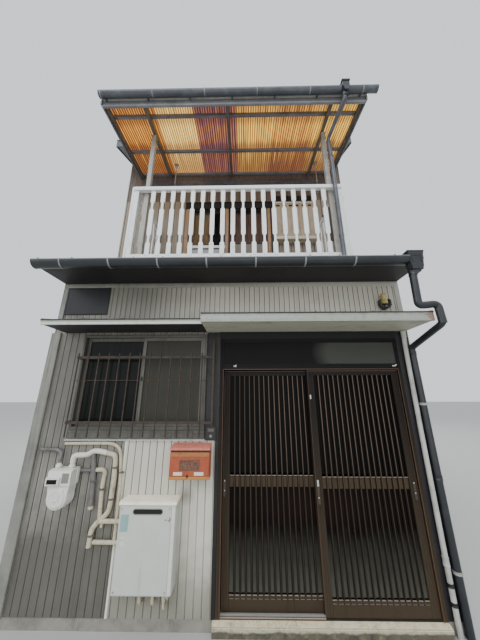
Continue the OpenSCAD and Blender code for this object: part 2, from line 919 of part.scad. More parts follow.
// A half-round gutter with a bead along its front edge and closed ends
module gutter(x0, x1, y, z) {
    run_across(x0, x1) translate([y, z]) {
        difference() {
            half_disc(gutter_r);
            circle(gutter_r - gutter_t);
        }
        translate([bead_d / 2 - gutter_r, 0]) circle(d = bead_d);
    }
    for (x = [x0, x1 - gutter_t]) run_across(x, x + gutter_t) translate([y, z]) half_disc(gutter_r);
}

// A strap round a gutter, with its tail at height z reaching back to y1
module gutter_strap(x, y, z, y1) {
    run_across(x, x + strap_w) {
        translate([y, z]) difference() {
            half_disc(gutter_r + strap_t);
            circle(gutter_r);
        }
        translate([y - gutter_r - strap_t, z]) square([y1 - y + gutter_r + strap_t, strap_t]);
    }
}

module eave_gutter() {
    x1 = hopper_x - hopper_w / 2;
    color("#3c3f41") {
        gutter(-half, x1, gutter_y, gutter_z);
        for (x = [-half + strap_first:strap_pitch:x1 - strap_w]) gutter_strap(x, gutter_y, gutter_z, fascia_y);
    }
}

// A box that narrows towards its foot
module hopper(x, y, z0, z1) {
    w = hopper_w / 2;
    d = hopper_d / 2;
    f = hopper_foot / 2;
    collar = (z1 - z0) / 2;
    block([x - w, y - d, z1 - collar], [x + w, y + d, z1]);
    intersection() {
        across(x - w, x + w, [[y - f, z0], [y + f, z0], [y + d, z1 - collar], [y - d, z1 - collar]]);
        translate([0, y + d, 0]) rotate([90, 0, 0]) linear_extrude(2 * d)
            polygon([[x - f, z0], [x + f, z0], [x + w, z1 - collar], [x - w, z1 - collar]]);
    }
}

module eave_downpipe() {
    turn_x = half + swing_out;
    turn_z = canopy_soffit + canopy_fascia + swing_up;
    foot_z = gutter_z - hopper_down;
    route = [
        [hopper_x, gutter_y, foot_z + cut],
        [hopper_x, gutter_y, turn_z],
        [turn_x, gutter_y, turn_z - swing_drop],
        [turn_x, gutter_y, canopy_soffit - swing_low],
        [half - wall_side, wall_pipe_y, canopy_soffit - wall_elbow],
        [half - wall_side, wall_pipe_y, 0]
    ];
    color("#44484a") {
        sweep(bend(route, elbow_r, 4), pipe_d, 16);
        hopper(hopper_x, gutter_y, foot_z, gutter_z + hopper_up);
    }
}

module canopy_downpipe() {
    color("gainsboro") sweep([
        [half - white_top, wall_pipe_y, canopy_soffit + soffit_lift - seat],
        [half - white_foot, wall_pipe_y, 0]
    ], pipe_d, 16);
}

// A boxed canopy: drip edge, pale band, recessed strip, lip, sloping top and flashing at the wall
module canopy(x0, x1, out, fascia, band) {
    y = face - out;
    z = canopy_soffit;
    top = z + fascia;
    across(x0, x1, [
        [y, z], [y + drip_w, z], [y + drip_w, z + soffit_lift], [face, z + soffit_lift],
        [face, top + canopy_top_h + upstand_h], [face - upstand_t, top + canopy_top_h + upstand_h],
        [face - upstand_t, top + canopy_top_h], [y - lip_out, top],
        [y - lip_out, top - lip_h], [y + band_t, top - lip_h], [y + band_t, z + band], [y, z + band]
    ]);
}

module door_canopy() {
    color("#c9c8b6") canopy(canopy_l, canopy_r, door_canopy_out, canopy_fascia, canopy_band);
}

module window_canopy() {
    color("#b9b9a8") canopy(win_canopy_l, canopy_l, win_canopy_out, win_canopy_fascia, win_canopy_band);
}

module entrance_frame() {
    inner_l = door_l + jamb_w;
    inner_r = door_r - jamb_w;
    y1 = frame_y + frame_d;
    plate_z1 = sill_h + sill_plate;
    color("#3b2f26") {
        difference() {
            block([door_l, frame_y, sill_h], [door_r, y1, frame_top]);
            block([inner_l, frame_y - cut, plate_z1], [inner_r, y1 + cut, bar_z]);
            block([inner_l, frame_y - cut, bar_z + transom_bar], [inner_r, y1 + cut, frame_top - jamb_w]);
        }
        for (y = [front_track, back_track])
            block([inner_l, y - rail_t / 2, plate_z1], [inner_r, y + rail_t / 2, plate_z1 + rail_h]);
    }
}

// A plate with round ends, its middle at x and its back at y
module pull(x, y) {
    h = (pull_h - pull_w) / 2;
    z = sill_h + pull_z;
    translate([x, y, z]) rotate([90, 0, 0]) {
        translate([-pull_w / 2, -h, 0]) cube([pull_w, 2 * h, pull_t]);
        for (end = [-h, h]) translate([0, end, 0]) cylinder(d = pull_w, h = pull_t);
    }
}

// A lattice leaf with its left edge at x and its middle at y
module leaf(x, y) {
    y0 = y - leaf_t / 2;
    y1 = y + leaf_t / 2;
    pane_l = x + stile_w;
    pane_r = x + leaf_w - stile_w;
    slat_gap = (pane_r - pane_l - slats * slat_w) / (slats + 1);
    roller_z = sill_h + sill_plate + rail_h + seat + roller_r;
    for (sx = [x, pane_r]) block([sx, y0, leaf_z0], [sx + stile_w, y1, leaf_z1]);
    for (r = [[leaf_z0, low_z], [mid_z0, mid_z1], [high_z, leaf_z1]])
        block([pane_l, y0, r[0]], [pane_r, y1, r[1]]);
    block([pane_l, y0, low_z + kick_gap], [pane_r, y0 + slat_d, low_z + kick_gap + kick_h]);
    for (i = [0:slats - 1]) {
        sx = pane_l + slat_gap + i * (slat_w + slat_gap);
        block([sx, y0, low_z], [sx + slat_w, y0 + slat_d, mid_z0]);
        block([sx, y0, mid_z1], [sx + slat_w, y0 + slat_d, high_z]);
    }
    for (rx = [pane_l + roller_in, pane_r - roller_in])
        translate([rx, y + roller_w / 2, roller_z]) rotate([90, 0, 0]) cylinder(r = roller_r, h = roller_w);
}

// The two panes behind a leaf's slats
module leaf_glass(x, y) {
    y1 = y + leaf_t / 2 - glass_back;
    for (r = [[low_z, mid_z0], [mid_z1, high_z]])
        block([x + stile_w, y1 - glass_t, r[0]], [x + leaf_w - stile_w, y1, r[1]]);
}

module door_left() {
    color("#4a3a2c") {
        leaf(leaf_l, back_track);
        pull(leaf_l + stile_w / 2, back_track - leaf_t / 2);
    }
}

module door_left_glass() {
    color("#2a2f30") leaf_glass(leaf_l, back_track);
}

module door_right() {
    x = leaf_r - leaf_w;
    color("#4a3a2c") {
        leaf(x, front_track);
        for (sx = [x, leaf_r - stile_w]) pull(sx + stile_w / 2, front_track - leaf_t / 2);
    }
}

module door_right_glass() {
    color("#2a2f30") leaf_glass(leaf_r - leaf_w, front_track);
}

// Left edge and front face of each of a window's two sashes
function sashes(w) = [
    [win_frame, win_d - sash_back - sash_t],
    [w / 2 - sash_w / 2, win_d - sash_back - sash_gap - 2 * sash_t]
];

// A sliding window with two sashes that overlap in the middle; it looks towards -Y
module window_unit(w, h) {
    sash = w / 2 - win_frame + sash_w / 2;
    sash_h = h - 2 * win_frame;
    difference() {
        cube([w, win_d, h]);
        translate([win_frame, -cut, win_frame]) cube([w - 2 * win_frame, win_d + 2 * cut, sash_h]);
    }
    for (s = sashes(w)) translate([s[0], s[1], win_frame]) difference() {
        cube([sash, sash_t, sash_h]);
        translate([sash_w, -cut, sash_w]) cube([sash - 2 * sash_w, sash_t + 2 * cut, sash_h - 2 * sash_w]);
    }
}

// The panes of such a window
module window_panes(w, h) {
    pane_w = w / 2 - win_frame - 1.5 * sash_w;
    pane_h = h - 2 * win_frame - 2 * sash_w;
    for (s = sashes(w)) translate([s[0] + sash_w, s[1] + (sash_t - glass_t) / 2, win_frame + sash_w])
        cube([pane_w, glass_t, pane_h]);
}

module window_frame() {
    apron_z = win_z0 - apron_h;
    color("silver") {
        translate([win_l, win_y, win_z0]) window_unit(win_w, win_h);
        block([win_l, face - apron_t, apron_z], [win_r, face, win_z0]);
        block([win_l - flash_side, face - flash_out, apron_z - flash_t], [win_r + flash_side, face, apron_z]);
    }
}

module front_glass() {
    y = frame_y + frame_d / 2;
    color("#30383c") {
        translate([win_l, win_y, win_z0]) window_panes(win_w, win_h);
        block([door_l + jamb_w, y, bar_z + transom_bar], [door_r - jamb_w, y + glass_t, frame_top - jamb_w]);
    }
}

module window_grille() {
    y = face - grille_out;
    x0 = win_l + grille_side;
    left = x0 - rail_over;
    count = floor((win_r + bar_pitch - x0) / bar_pitch);
    x1 = x0 + count * bar_pitch;
    low = win_z0 + low_rail;
    top = win_z0 + top_rail;
    color("#5a3a2a") {
        for (z = [low, top]) {
            block([left, y - flat_t / 2, z], [x1, y + flat_t / 2, z + flat_h]);
            block([left, y - flat_t / 2, z], [left + flat_t, win_y, z + flat_h]);
            block([x1, y - flat_t / 2, z], [x1 + flat_t, face, z + flat_h]);
        }
        translate([left, y, win_z0 + mid_rod]) rotate([0, 90, 0]) cylinder(d = rod_d, h = x1 - left);
        block([x1, y - end_post / 2, low - post_down], [x1 + end_post, y + end_post / 2, top + post_up]);
        for (i = [0:count - 1])
            translate([x0 + i * bar_pitch, y, win_z0 - bar_drop]) cylinder(d = bar_d, h = bar_h);
    }
}

module mailbox() {
    y0 = face - mail_d;
    color("orangered") {
        block([mail_l, y0, mail_z0], [mail_r, face, mail_z0 + mail_t]);
        block([mail_l, y0, mail_z0], [mail_r, y0 + mail_t, mail_top]);
        block([mail_l - mail_t, y0 - mail_t, mail_z0], [mail_r + mail_t, y0, mail_z0 + mail_rim]);
        block([mail_l, face - mail_t, mail_z0], [mail_r, face, mail_top + mail_gap]);
        for (x = [mail_l, mail_r - mail_t]) across(x, x + mail_t, [
            [y0, mail_z0], [face, mail_z0], [face, pin_z + pin_d], [face - 2 * pin_d, pin_z + pin_d],
            [face - 3 * pin_d, mail_top + mail_gap], [y0, mail_top]
        ]);
        translate([mail_l, pin_y, pin_z]) rotate([0, 90, 0]) cylinder(d = pin_d, h = mail_w);
    }
}

module mailbox_lid() {
    bore = pin_d + 2 * pin_gap;
    barrel = bore + 2 * barrel_t;
    x0 = mail_l + mail_t + cheek_gap;
    x1 = mail_r - mail_t - cheek_gap;
    strip_y = pin_y - lid_strip;
    top = pin_z + barrel / 2;
    front_y = face - mail_d - lid_out;
    front_z = mail_top + mail_gap + lid_lip * 2 / 3;
    color("salmon") difference() {
        union() {
            translate([x0, pin_y, pin_z]) rotate([0, 90, 0]) cylinder(d = barrel, h = x1 - x0);
            across(x0, x1, [
                [pin_y, top - lid_t], [pin_y, top], [strip_y, top + lid_t - 1], [strip_y, top - 1]
            ]);
            across(mail_l - lid_over, mail_r + lid_over, [
                [strip_y, top - 1], [strip_y, top + lid_t - 1],
                [front_y, front_z], [front_y, front_z - lid_lip],
                [front_y + lid_t, front_z - lid_lip], [front_y + lid_t, front_z - lid_t]
            ]);
        }
        translate([mail_l, pin_y, pin_z]) rotate([0, 90, 0]) cylinder(d = bore, h = mail_w);
    }
}

module water_heater() {
    y0 = face - heater_d;
    back = face - heater_back;
    case_z = heater_z1 - heater_lid;
    vent_z = case_z - vent_drop - vent_h / 2;
    vent_x = [heater_l + vent_side + vent_h / 2, heater_l + vent_side + vent_w - vent_h / 2];
    color("whitesmoke") {
        difference() {
            block([heater_l, y0, heater_z0], [heater_r, back, case_z]);
            block([vent_x[0], y0 - cut, vent_z - vent_h / 2], [vent_x[1], y0 + vent_d, vent_z + vent_h / 2]);
            for (x = vent_x) translate([x, y0 + vent_d, vent_z]) rotate([90, 0, 0])
                cylinder(d = vent_h, h = vent_d + cut);
        }
        block([heater_l - heater_lip, y0 - heater_lip, case_z], [heater_r + heater_lip, back, heater_z1]);
        for (x = [heater_l + strap_in, heater_r - strap_in - mount_w])
            block([x, back, heater_z0 - mount_down], [x + mount_w, face, heater_z1 + mount_up]);
    }
}

module gas_meter() {
    y0 = face - meter_out;
    back = face - meter_back;
    head_z = meter_z1 - meter_head;
    drum_z = meter_z1 - meter_h + drum_d / 2;
    depth_d = back - y0;
    shrink = meter_foot / 2;
    color("white") {
        block([meter_l, y0, head_z], [meter_r, back, meter_z1]);
        block([meter_l + shrink, y0 + shrink, drum_z], [meter_r - shrink, back, head_z]);
        translate([(meter_l + meter_r) / 2, back, drum_z]) rotate([90, 0, 0]) {
            cylinder(d = drum_d, h = depth_d);
            cylinder(d = drum_d * 0.7, h = depth_d + shrink);
        }
        for (x = [meter_l + union_in, meter_r - union_in])
            translate([x, (y0 + back) / 2, meter_z1]) cylinder(d = union_d, h = union_h);
        for (x = [meter_l + meter_foot, meter_r - 2 * meter_foot])
            block([x, back, head_z + meter_foot], [x + meter_foot, face, head_z + meter_foot + meter_foot_h]);
    }
}

// Each route's points are shares of the gap between meter and heater, and of the height over the heater
module wall_pipes() {
    y = face - pipe_off;
    span = heater_l - meter_r;
    routes = [
        [bare_d, [[-0.32, 1], [0.66, 1], [0.74, 0.92], [0.85, -0.36]]],
        [lag_d, [[0.34, 0.8], [0.67, 0.78], [0.71, -0.16], [0.52, -0.4], [0.44, -0.8]]],
        [bare_d, [[0.25, 0.75], [0.3, -0.54]]]
    ];
    color("ivory") for (route = routes) {
        points = [for (q = route[1]) [meter_r + q[0] * span, y, heater_z1 + q[1] * pipe_top]];
        last = (points[len(points) - 2] + points[len(points) - 1]) / 2;
        sweep(bend(points, bend_r, 3), route[0], 12);
        block([last.x - clip_w / 2, y, last.z - clip_h / 2], [last.x + clip_w / 2, face, last.z + clip_h / 2]);
    }
}

module balcony_deck() {
    y0 = rail_y + joist_back;
    color("#6b6a63") {
        block([bal_l, rail_y, deck_z - deck_t], [bal_r, up_face, deck_z]);
        for (x = joist_x) across(x, x + joist_w, [
            [y0, lean_over(y0)], [up_face, lean_over(up_face)],
            [up_face, deck_z - deck_t], [y0, deck_z - deck_t]
        ]);
    }
}

// A board with two pairs of round notches, upright, with its middle at x
module cut_board(h) {
    notch_r = (notch_h * notch_h / 4 + notch_d * notch_d) / (2 * notch_d);
    notch_x = baluster_w / 2 + notch_r - notch_d;
    translate([0, board_t, 0]) rotate([90, 0, 0]) linear_extrude(board_t) difference() {
        translate([-baluster_w / 2, 0]) square([baluster_w, h]);
        for (z = [0.27 * h, 0.74 * h]) for (x = [-notch_x, notch_x]) translate([x, z]) circle(notch_r);
    }
}

module railing_run(length, boards, first, pitch) {
    z0 = rail_z0 + rail_bottom;
    z1 = rail_z1 - rail_top;
    block([0, 0, rail_z0], [length, board_t, z0]);
    block([0, -rail_over_d, z1], [length, board_t + rail_over_d, rail_z1]);
    for (i = [0:boards - 1]) translate([first + i * pitch, 0, z0]) cut_board(z1 - z0);
}

module railing_front() {
    inner = post_l + post_w + post_clear;
    pitch = (post_r - post_clear - inner) / balusters;
    color("white") {
        translate([bal_l, rail_y, 0]) railing_run(balcony_w, balusters, inner - bal_l + pitch / 2, pitch);
        for (x = [bal_l, bal_r - baluster_w])
            block([x, rail_y, rail_z0 + rail_bottom], [x + baluster_w, rail_y + board_t, rail_z1 - rail_top]);
    }
}

module railing_sides() {
    length = up_face - rail_back;
    pitch = length / side_balusters;
    color("white") for (x = [bal_l + rail_over_d + board_t, bal_r - rail_over_d])
        translate([x, rail_back, 0]) rotate([0, 0, 90]) railing_run(length, side_balusters, pitch / 2, pitch);
}

module balcony_posts() {
    y1 = rail_back + post_w;
    color("lightgray") for (x = [post_l, post_r]) across(x, x + post_w, [
        [rail_back, deck_z], [y1, deck_z], [y1, croof_under(y1)], [rail_back, croof_under(rail_back)]
    ]);
}

// Length of the rafters up the slope, and of what lies on them, to the wall
function slope_run(lift) = (up_face - croof_y) / cos(croof_angle) - lift * tan(croof_angle);

module balcony_rafters() {
    color("#8a857c") on_slope()
        for (x = rafter_x) block([x, 0, 0], [x + rafter_w, slope_run(rafter_h), rafter_h]);
}

module balcony_purlins() {
    last = slope_run(rafter_h + purlin_h) - rafter_w;
    color("#7f7a72") on_slope() for (y = [0, purlin_2, purlin_3, last])
        block([croof_l, y, rafter_h], [croof_r, y + rafter_w, rafter_h + purlin_h]);
}

// Height of a corrugated sheet at a distance across it
function wave(x) = wave_h / 2 * (1 - cos(360 * x / wave_pitch));

module corrugated(w, length) {
    steps = 6 * w / wave_pitch;
    low = [for (i = [0:steps]) [i * wave_pitch / 6, wave(i * wave_pitch / 6)]];
    high = [for (i = [steps:-1:0]) [low[i].x, low[i].y + sheet_t]];
    translate([0, length, 0]) rotate([90, 0, 0]) linear_extrude(length) polygon(concat(low, high));
}

// Each sheet laps the next by one wave, every second one on top
module balcony_roof_sheets() {
    lift = rafter_h + purlin_h + seat;
    length = slope_run(0) + sheet_out - sheet_back;
    margin = (croof_r - croof_l - sheets * sheet_w) / 2;
    color("orange") on_slope() for (i = [0:sheets - 1]) {
        lap = i < sheets - 1 ? wave_pitch : 0;
        raise = i % 2 == 0 ? 0 : sheet_t + seat;
        translate([croof_l + margin + i * sheet_w, -sheet_out, lift + raise]) corrugated(sheet_w + lap, length);
    }
}

module balcony_gutter() {
    color("#3c3f41") {
        gutter(croof_l - high_gutter_l, croof_r + high_gutter_r, high_gutter_y, high_gutter_z);
        for (x = [croof_l + rafter_w + strap_w:high_strap_pitch:croof_r - strap_w])
            gutter_strap(x, high_gutter_y, high_gutter_z, croof_front(high_gutter_z + strap_t));
    }
}

module balcony_downpipe() {
    x = post_r + post_w + high_pipe_side;
    y = rail_y - rail_over_d - high_pipe_gap - pipe_d / 2;
    z = high_gutter_z - gutter_r - outlet_h;
    color("#55595b") {
        translate([x, high_gutter_y, z]) cylinder(d = outlet_d, h = outlet_h - seat);
        sweep(bend([
            [x, high_gutter_y, z + cut], [x, high_gutter_y, z - high_pipe_drop],
            [x - high_pipe_step, y, z - high_pipe_drop - high_pipe_fall],
            [x - high_pipe_step, y, lean_over(y) + high_pipe_foot]
        ], elbow_r, 4), pipe_d, 16);
    }
}

// Tops of the courses from an eave up to the ridge, each a step above the last, as points [y, z]
function courses(eave, lift) = let(side = sign(eave - ridge_y), far = abs(eave - ridge_y),
    run = (far - ridge_w / 2 - seat) / tile_rows)
    [for (k = [0:tile_rows - 1]) each let(low = ridge_y + side * (far - k * run), high = low - side * run)
        [[low, roof_top(low) + lift + tile_step], [high, roof_top(high) + lift]]];

// The courses from x0 to x1, on both slopes
module tiles(x0, x1, lift) {
    for (eave = [up_face - eave_out, back_out + eave_out]) {
        line = courses(eave, lift);
        high = line[len(line) - 1].x;
        across(x0, x1, concat(
            [[eave, roof_top(eave) - roof_t / 2]], line, [[high, roof_top(high) - roof_t / 2]]
        ));
    }
}

// Boarded slopes under pantiles: flat troughs, and a roll near the side of each tile
module main_roof() {
    y0 = up_face - eave_out;
    y1 = back_out + eave_out;
    edge = half + verge_out;
    tile_w = 2 * edge / tile_cols;
    color("#4f5356") {
        across(-edge, edge, [
            [y0, roof_under(y0)], [ridge_y, roof_under(ridge_y)], [y1, roof_under(y1)],
            [y1, roof_top(y1)], [ridge_y, roof_top(ridge_y)], [y0, roof_top(y0)]
        ]);
        tiles(-edge, edge, tile_lift);
        for (i = [1:tile_cols])
            tiles((i - roll_part) * tile_w - edge, (i - roll_part / 4) * tile_w - edge, tile_lift + tile_roll);
    }
}

module rafter_tail(x, y0, y1) {
    z0 = roof_under(y0);
    z1 = roof_under(y1);
    across(x, x + tail_w, [[y0, z0], [y1, z1], [y1, z1 - tail_h], [y0, z0 - tail_h]]);
}

module rafter_tails() {
    count = floor((frontage - 2 * tail_w) / tail_pitch) + 1;
    first = -(count - 1) * tail_pitch / 2 - tail_w / 2;
    reach = eave_out - tail_back;
    color("#6a5a48") for (i = [0:count - 1]) {
        rafter_tail(first + i * tail_pitch, up_face, up_face - reach);
        rafter_tail(first + i * tail_pitch, back_out, back_out + reach);
    }
}

// Two stepped courses and a round cap astride the top of the roof
module roof_ridge() {
    z = roof_top(ridge_y);
    w = ridge_w / 2;
    foot = w * roof_slope;
    color("#45494c") run_across(-half - verge_out, half + verge_out) translate([ridge_y, z]) {
        polygon([[-w, -foot], [0, 0], [w, -foot], [w, ridge_course], [-w, ridge_course]]);
        translate([-w * 0.8, ridge_course]) square([w * 1.6, ridge_course]);
        translate([0, 2 * ridge_course]) circle(d = ridge_cap);
    }
}

// Height of the upper panes, and the balcony window's panes as left edge, foot and height
up_pane_w = (up_w - 3 * up_bar) / 2;
up_high_h = up_z1 - up_z0 - 2 * up_bar - up_low_h - up_rail_h;
up_panes = [
    for (x = [up_bar, 2 * up_bar + up_pane_w])
        for (z = [[up_bar, up_low_h], [up_bar + up_low_h + up_rail_h, up_high_h]]) [x, z[0], z[1]]
];

module balcony_window() {
    color("#8a5a35") translate([up_win_l, up_face - up_out, up_z0]) difference() {
        cube([up_w, up_d, up_z1 - up_z0]);
        for (p = up_panes) translate([p[0], -cut, p[1]]) cube([up_pane_w, up_d + 2 * cut, p[2]]);
    }
}

module upper_glass() {
    color("#3a4448") translate([up_win_l, up_face - up_out + up_d / 2, up_z0])
        for (p = up_panes) translate([p[0], 0, p[1]]) cube([up_pane_w, glass_t, p[2]]);
}

module shutter_box() {
    y0 = up_face - shutter_d;
    color("#cdbf9f") {
        block([shutter_l, y0, up_z1 - shutter_h], [shutter_r, up_face, up_z1 - ledge_h]);
        block([shutter_l - ledge_out, y0 - ledge_out, up_z1 - ledge_h], [shutter_r + ledge_out, up_face, up_z1]);
    }
}

module wall_trims() {
    high_z0 = canopy_top + seat;
    color("lightgray") {
        block([-half, face - trim_t, belt_z], [half, face, soffit_z]);
        block([half - high_corner_w, face - trim_t, high_z0], [half, face, belt_z]);
        block([-half, face - trim_t, canopy_soffit], [-half + high_corner_w, face, belt_z]);
        block([-half - corner_out, face - corner_t, sill_h], [-half + corner_w, face, canopy_soffit]);
    }
}

module dark_panel() {
    z0 = canopy_soffit + win_canopy_fascia + canopy_top_h + upstand_h;
    z1 = soffit_z - belt_h;
    x0 = -half + high_corner_w;
    color("#1c2430") block([x0, face - panel_t, z0 + panel_gap * (z1 - z0)], [x0 + panel_w, face, z1]);
}

// A waisted knob on a bracket, with a ring hung under it
module wall_insulator() {
    y = face - knob_out;
    z = (canopy_top + belt_z) / 2;
    color("gold") {
        block([half - knob_side - ring_t, y, z + knob_h / 2 - ring_t], [half - knob_side + ring_t, face, z + knob_h / 2]);
        translate([half - knob_side, y, z - knob_h / 2]) rotate_extrude() polygon([
            [0, 0], [knob_d / 2, 0], [knob_d / 2, knob_h * 0.3], [knob_d * 0.34, knob_h * 0.42],
            [knob_d * 0.34, knob_h * 0.58], [knob_d / 2, knob_h * 0.7], [knob_d / 2, knob_h], [0, knob_h]
        ]);
        translate([half - knob_side, y, z - (knob_h + ring_d) / 2]) rotate([90, 0, 0])
            rotate_extrude() translate([ring_d / 2, 0]) circle(d = ring_t);
    }
}

module intercom() {
    x1 = door_l - bell_side;
    z0 = win_z0 - bell_drop;
    color("#202020") block([x1 - bell_w, face - bell_d, z0], [x1, face, z0 + bell_h]);
}

module back_windows() {
    color("silver") for (z = back_win_z)
        translate([win_w / 2, back_out + win_out, z]) rotate([0, 0, 180]) window_unit(win_w, win_h);
}

module back_glass() {
    color("#30383c") for (z = back_win_z)
        translate([win_w / 2, back_out + win_out, z]) rotate([0, 0, 180]) window_panes(win_w, win_h);
}

foundation();
ground_floor();
entrance_step();
upper_floor();
front_wall_left();
front_wall_over_door();
front_wall_right();
side_wall_left();
side_wall_right();
gable_wall_left();
gable_wall_right();
back_wall();
upper_back_wall();
upper_front_wall();
lean_to_roof();
eave_soffit();
eave_gutter();
eave_downpipe();
canopy_downpipe();
window_canopy();
door_canopy();
entrance_frame();
door_left();
door_left_glass();
door_right();
door_right_glass();
window_frame();
front_glass();
window_grille();
mailbox();
mailbox_lid();
water_heater();
gas_meter();
wall_pipes();
balcony_deck();
railing_front();
railing_sides();
balcony_posts();
balcony_rafters();
balcony_purlins();
balcony_roof_sheets();
balcony_gutter();
balcony_downpipe();
main_roof();
rafter_tails();
roof_ridge();
balcony_window();
upper_glass();
shutter_box();
wall_trims();
dark_panel();
wall_insulator();
intercom();
back_windows();
back_glass();
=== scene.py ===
# %% [markdown]
# # A narrow machiya townhouse
# Two storeys of timber and metal siding between two neighbours' walls: a lattice sliding entrance,
# a barred window, canopies, a mailbox, a water heater and a gas meter below, and a balcony under a
# corrugated plastic roof above. The CAD model is the fixed frame; this lesson dresses it.

# %% Load the frame
import math

import bmesh
import bpy
import numpy as np
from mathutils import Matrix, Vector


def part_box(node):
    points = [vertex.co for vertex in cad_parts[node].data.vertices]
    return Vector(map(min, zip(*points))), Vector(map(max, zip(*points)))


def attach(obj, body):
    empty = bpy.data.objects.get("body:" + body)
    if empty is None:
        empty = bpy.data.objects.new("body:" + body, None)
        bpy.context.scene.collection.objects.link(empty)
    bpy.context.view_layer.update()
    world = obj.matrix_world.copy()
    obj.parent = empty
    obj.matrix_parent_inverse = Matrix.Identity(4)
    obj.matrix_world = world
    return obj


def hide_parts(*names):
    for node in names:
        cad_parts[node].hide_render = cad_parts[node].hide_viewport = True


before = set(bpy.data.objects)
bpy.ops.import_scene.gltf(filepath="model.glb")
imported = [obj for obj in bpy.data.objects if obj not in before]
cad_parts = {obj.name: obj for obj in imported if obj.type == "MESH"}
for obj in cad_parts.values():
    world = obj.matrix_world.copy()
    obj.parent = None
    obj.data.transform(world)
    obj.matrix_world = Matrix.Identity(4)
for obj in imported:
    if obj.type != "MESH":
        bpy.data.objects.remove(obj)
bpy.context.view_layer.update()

# %% [markdown]
# ## Surfaces from numbers
# A builder's drawing is in millimetres, so the shapes below are too, and `piece` turns them to metres.
# Every surface is a pair: an array of points and a list of arrays of faces. A grid of points covers
# most shapes, because a profile carried along a path, a turned knob and a pipe are all grids.

# %% Grids and blocks
def grid(points, wrap=True, caps=True):
    """Four-sided faces between neighbours of an array (rows, columns, 3). wrap joins the last column
    to the first. caps closes the first and last row with one face each, or "joined" joins the two."""
    rows, columns = points.shape[:2]
    r, c = np.meshgrid(np.arange(rows - 1), np.arange(columns if wrap else columns - 1), indexing="ij")
    d = (c + 1) % columns
    faces = np.stack([r * columns + c, r * columns + d, (r + 1) * columns + d, (r + 1) * columns + c], -1)
    groups = [faces.reshape(-1, 4)]
    ring, last = np.arange(columns), (rows - 1) * columns
    if caps == "joined":
        groups.append(np.stack([last + ring, last + (ring + 1) % columns, (ring + 1) % columns, ring], -1))
    elif caps:
        groups += [ring[None, ::-1], last + ring[None]]
    return points.reshape(-1, 3).astype(float), groups


CORNERS = np.array([[i & 1, i >> 1 & 1, i >> 2] for i in range(8)])
SIDES = np.array([[0, 2, 3, 1], [4, 5, 7, 6], [0, 1, 5, 4], [2, 6, 7, 3], [0, 4, 6, 2], [1, 3, 7, 5]])


def boxes(lows, highs):
    """Blocks: corner k of each is low + (high - low) * k, where k runs over the eight corners of a
    cube with sides of 1."""
    lows, highs = np.atleast_2d(lows).astype(float), np.atleast_2d(highs).astype(float)
    points = lows[:, None] + (highs - lows)[:, None] * CORNERS
    faces = SIDES + 8 * np.arange(len(points))[:, None, None]
    return points.reshape(-1, 3), [faces.reshape(-1, 4)]


def carried(profile, start, end, axis="x"):
    """A flat profile carried straight from start to end along an axis: its two numbers are the other
    two directions, in the order x, y, z."""
    k = "xyz".index(axis)
    others = [i for i in range(3) if i != k]
    points = np.zeros((2, len(profile), 3))
    points[:, :, others] = np.asarray(profile, float)
    points[0, :, k], points[1, :, k] = start, end
    return grid(points)


def oblong(a0, b0, a1, b1):
    """The profile of a flat bar: a rectangle between two corners."""
    return [(a0, b0), (a1, b0), (a1, b1), (a0, b1)]


print("a block has", len(boxes((0, 0, 0), (1, 1, 1))[1][0]), "faces")

# %% Turned shapes and pipes
def turned(profile, centre, axis="z", sides=28, caps=True):
    """The profile (radius, height) turned round an axis through centre: a point is
    centre + radius * (cos t, sin t) across the axis + height along it."""
    k = "xyz".index(axis)
    a, b = [(1, 2), (2, 0), (0, 1)][k]
    t = np.arange(sides) * 2 * np.pi / sides
    profile = np.asarray(profile, float)
    points = np.zeros((len(profile), sides, 3))
    points[:, :, a] = profile[:, :1] * np.cos(t)
    points[:, :, b] = profile[:, :1] * np.sin(t)
    points[:, :, k] = profile[:, 1:]
    return grid(points + np.asarray(centre, float), caps=caps)


def rod(radius, start, end, centre, axis="z", sides=12):
    """A round bar or washer on centre, from start to end along the axis."""
    return turned([(0, start), (radius, start), (radius, end), (0, end)], centre, axis, sides)


def tube(path, radius, sides=16):
    """A circle carried along a path: at each point it lies across the path's direction, and its
    radius may change from point to point."""
    path = np.asarray(path, float)
    ahead = np.gradient(path, axis=0)
    ahead /= np.linalg.norm(ahead, axis=1, keepdims=True)
    side = np.cross(ahead, [0.317, 0.843, 0.435])
    side /= np.linalg.norm(side, axis=1, keepdims=True)
    up = np.cross(side, ahead)
    t = np.arange(sides) * 2 * np.pi / sides
    radius = np.broadcast_to(np.asarray(radius, float), len(path))[:, None, None]
    circle = np.cos(t)[None, :, None] * side[:, None] + np.sin(t)[None, :, None] * up[:, None]
    return grid(path[:, None] + radius * circle)


def bent(corners, radius, steps=6):
    """A path through corners, each rounded by a curve that starts and ends radius away from it:
    p = (1-t)^2 a + 2 t (1-t) corner + t^2 b."""
    corners = np.asarray(corners, float)
    before, at, after = corners[:-2], corners[1:-1], corners[2:]
    def toward(other):
        gap = other - at
        length = np.linalg.norm(gap, axis=1, keepdims=True)
        return at + gap * np.minimum(radius / length, 0.45)
    a, b = toward(before)[:, None], toward(after)[:, None]
    t = np.linspace(0, 1, steps)[None, :, None]
    arcs = (1 - t) ** 2 * a + 2 * t * (1 - t) * at[:, None] + t ** 2 * b
    return np.vstack([corners[:1], arcs.reshape(-1, 3), corners[-1:]])


def arc(centre, radius, start, end, steps=12):
    """Points (two numbers each) on a circle from one angle to another, in degrees."""
    t = np.radians(np.linspace(start, end, steps))
    return np.asarray(centre) + radius * np.stack([np.cos(t), np.sin(t)], -1)


print("a rounded corner has", len(bent([(0, 0, 0), (9, 0, 0), (9, 0, 9)], 3)), "points")

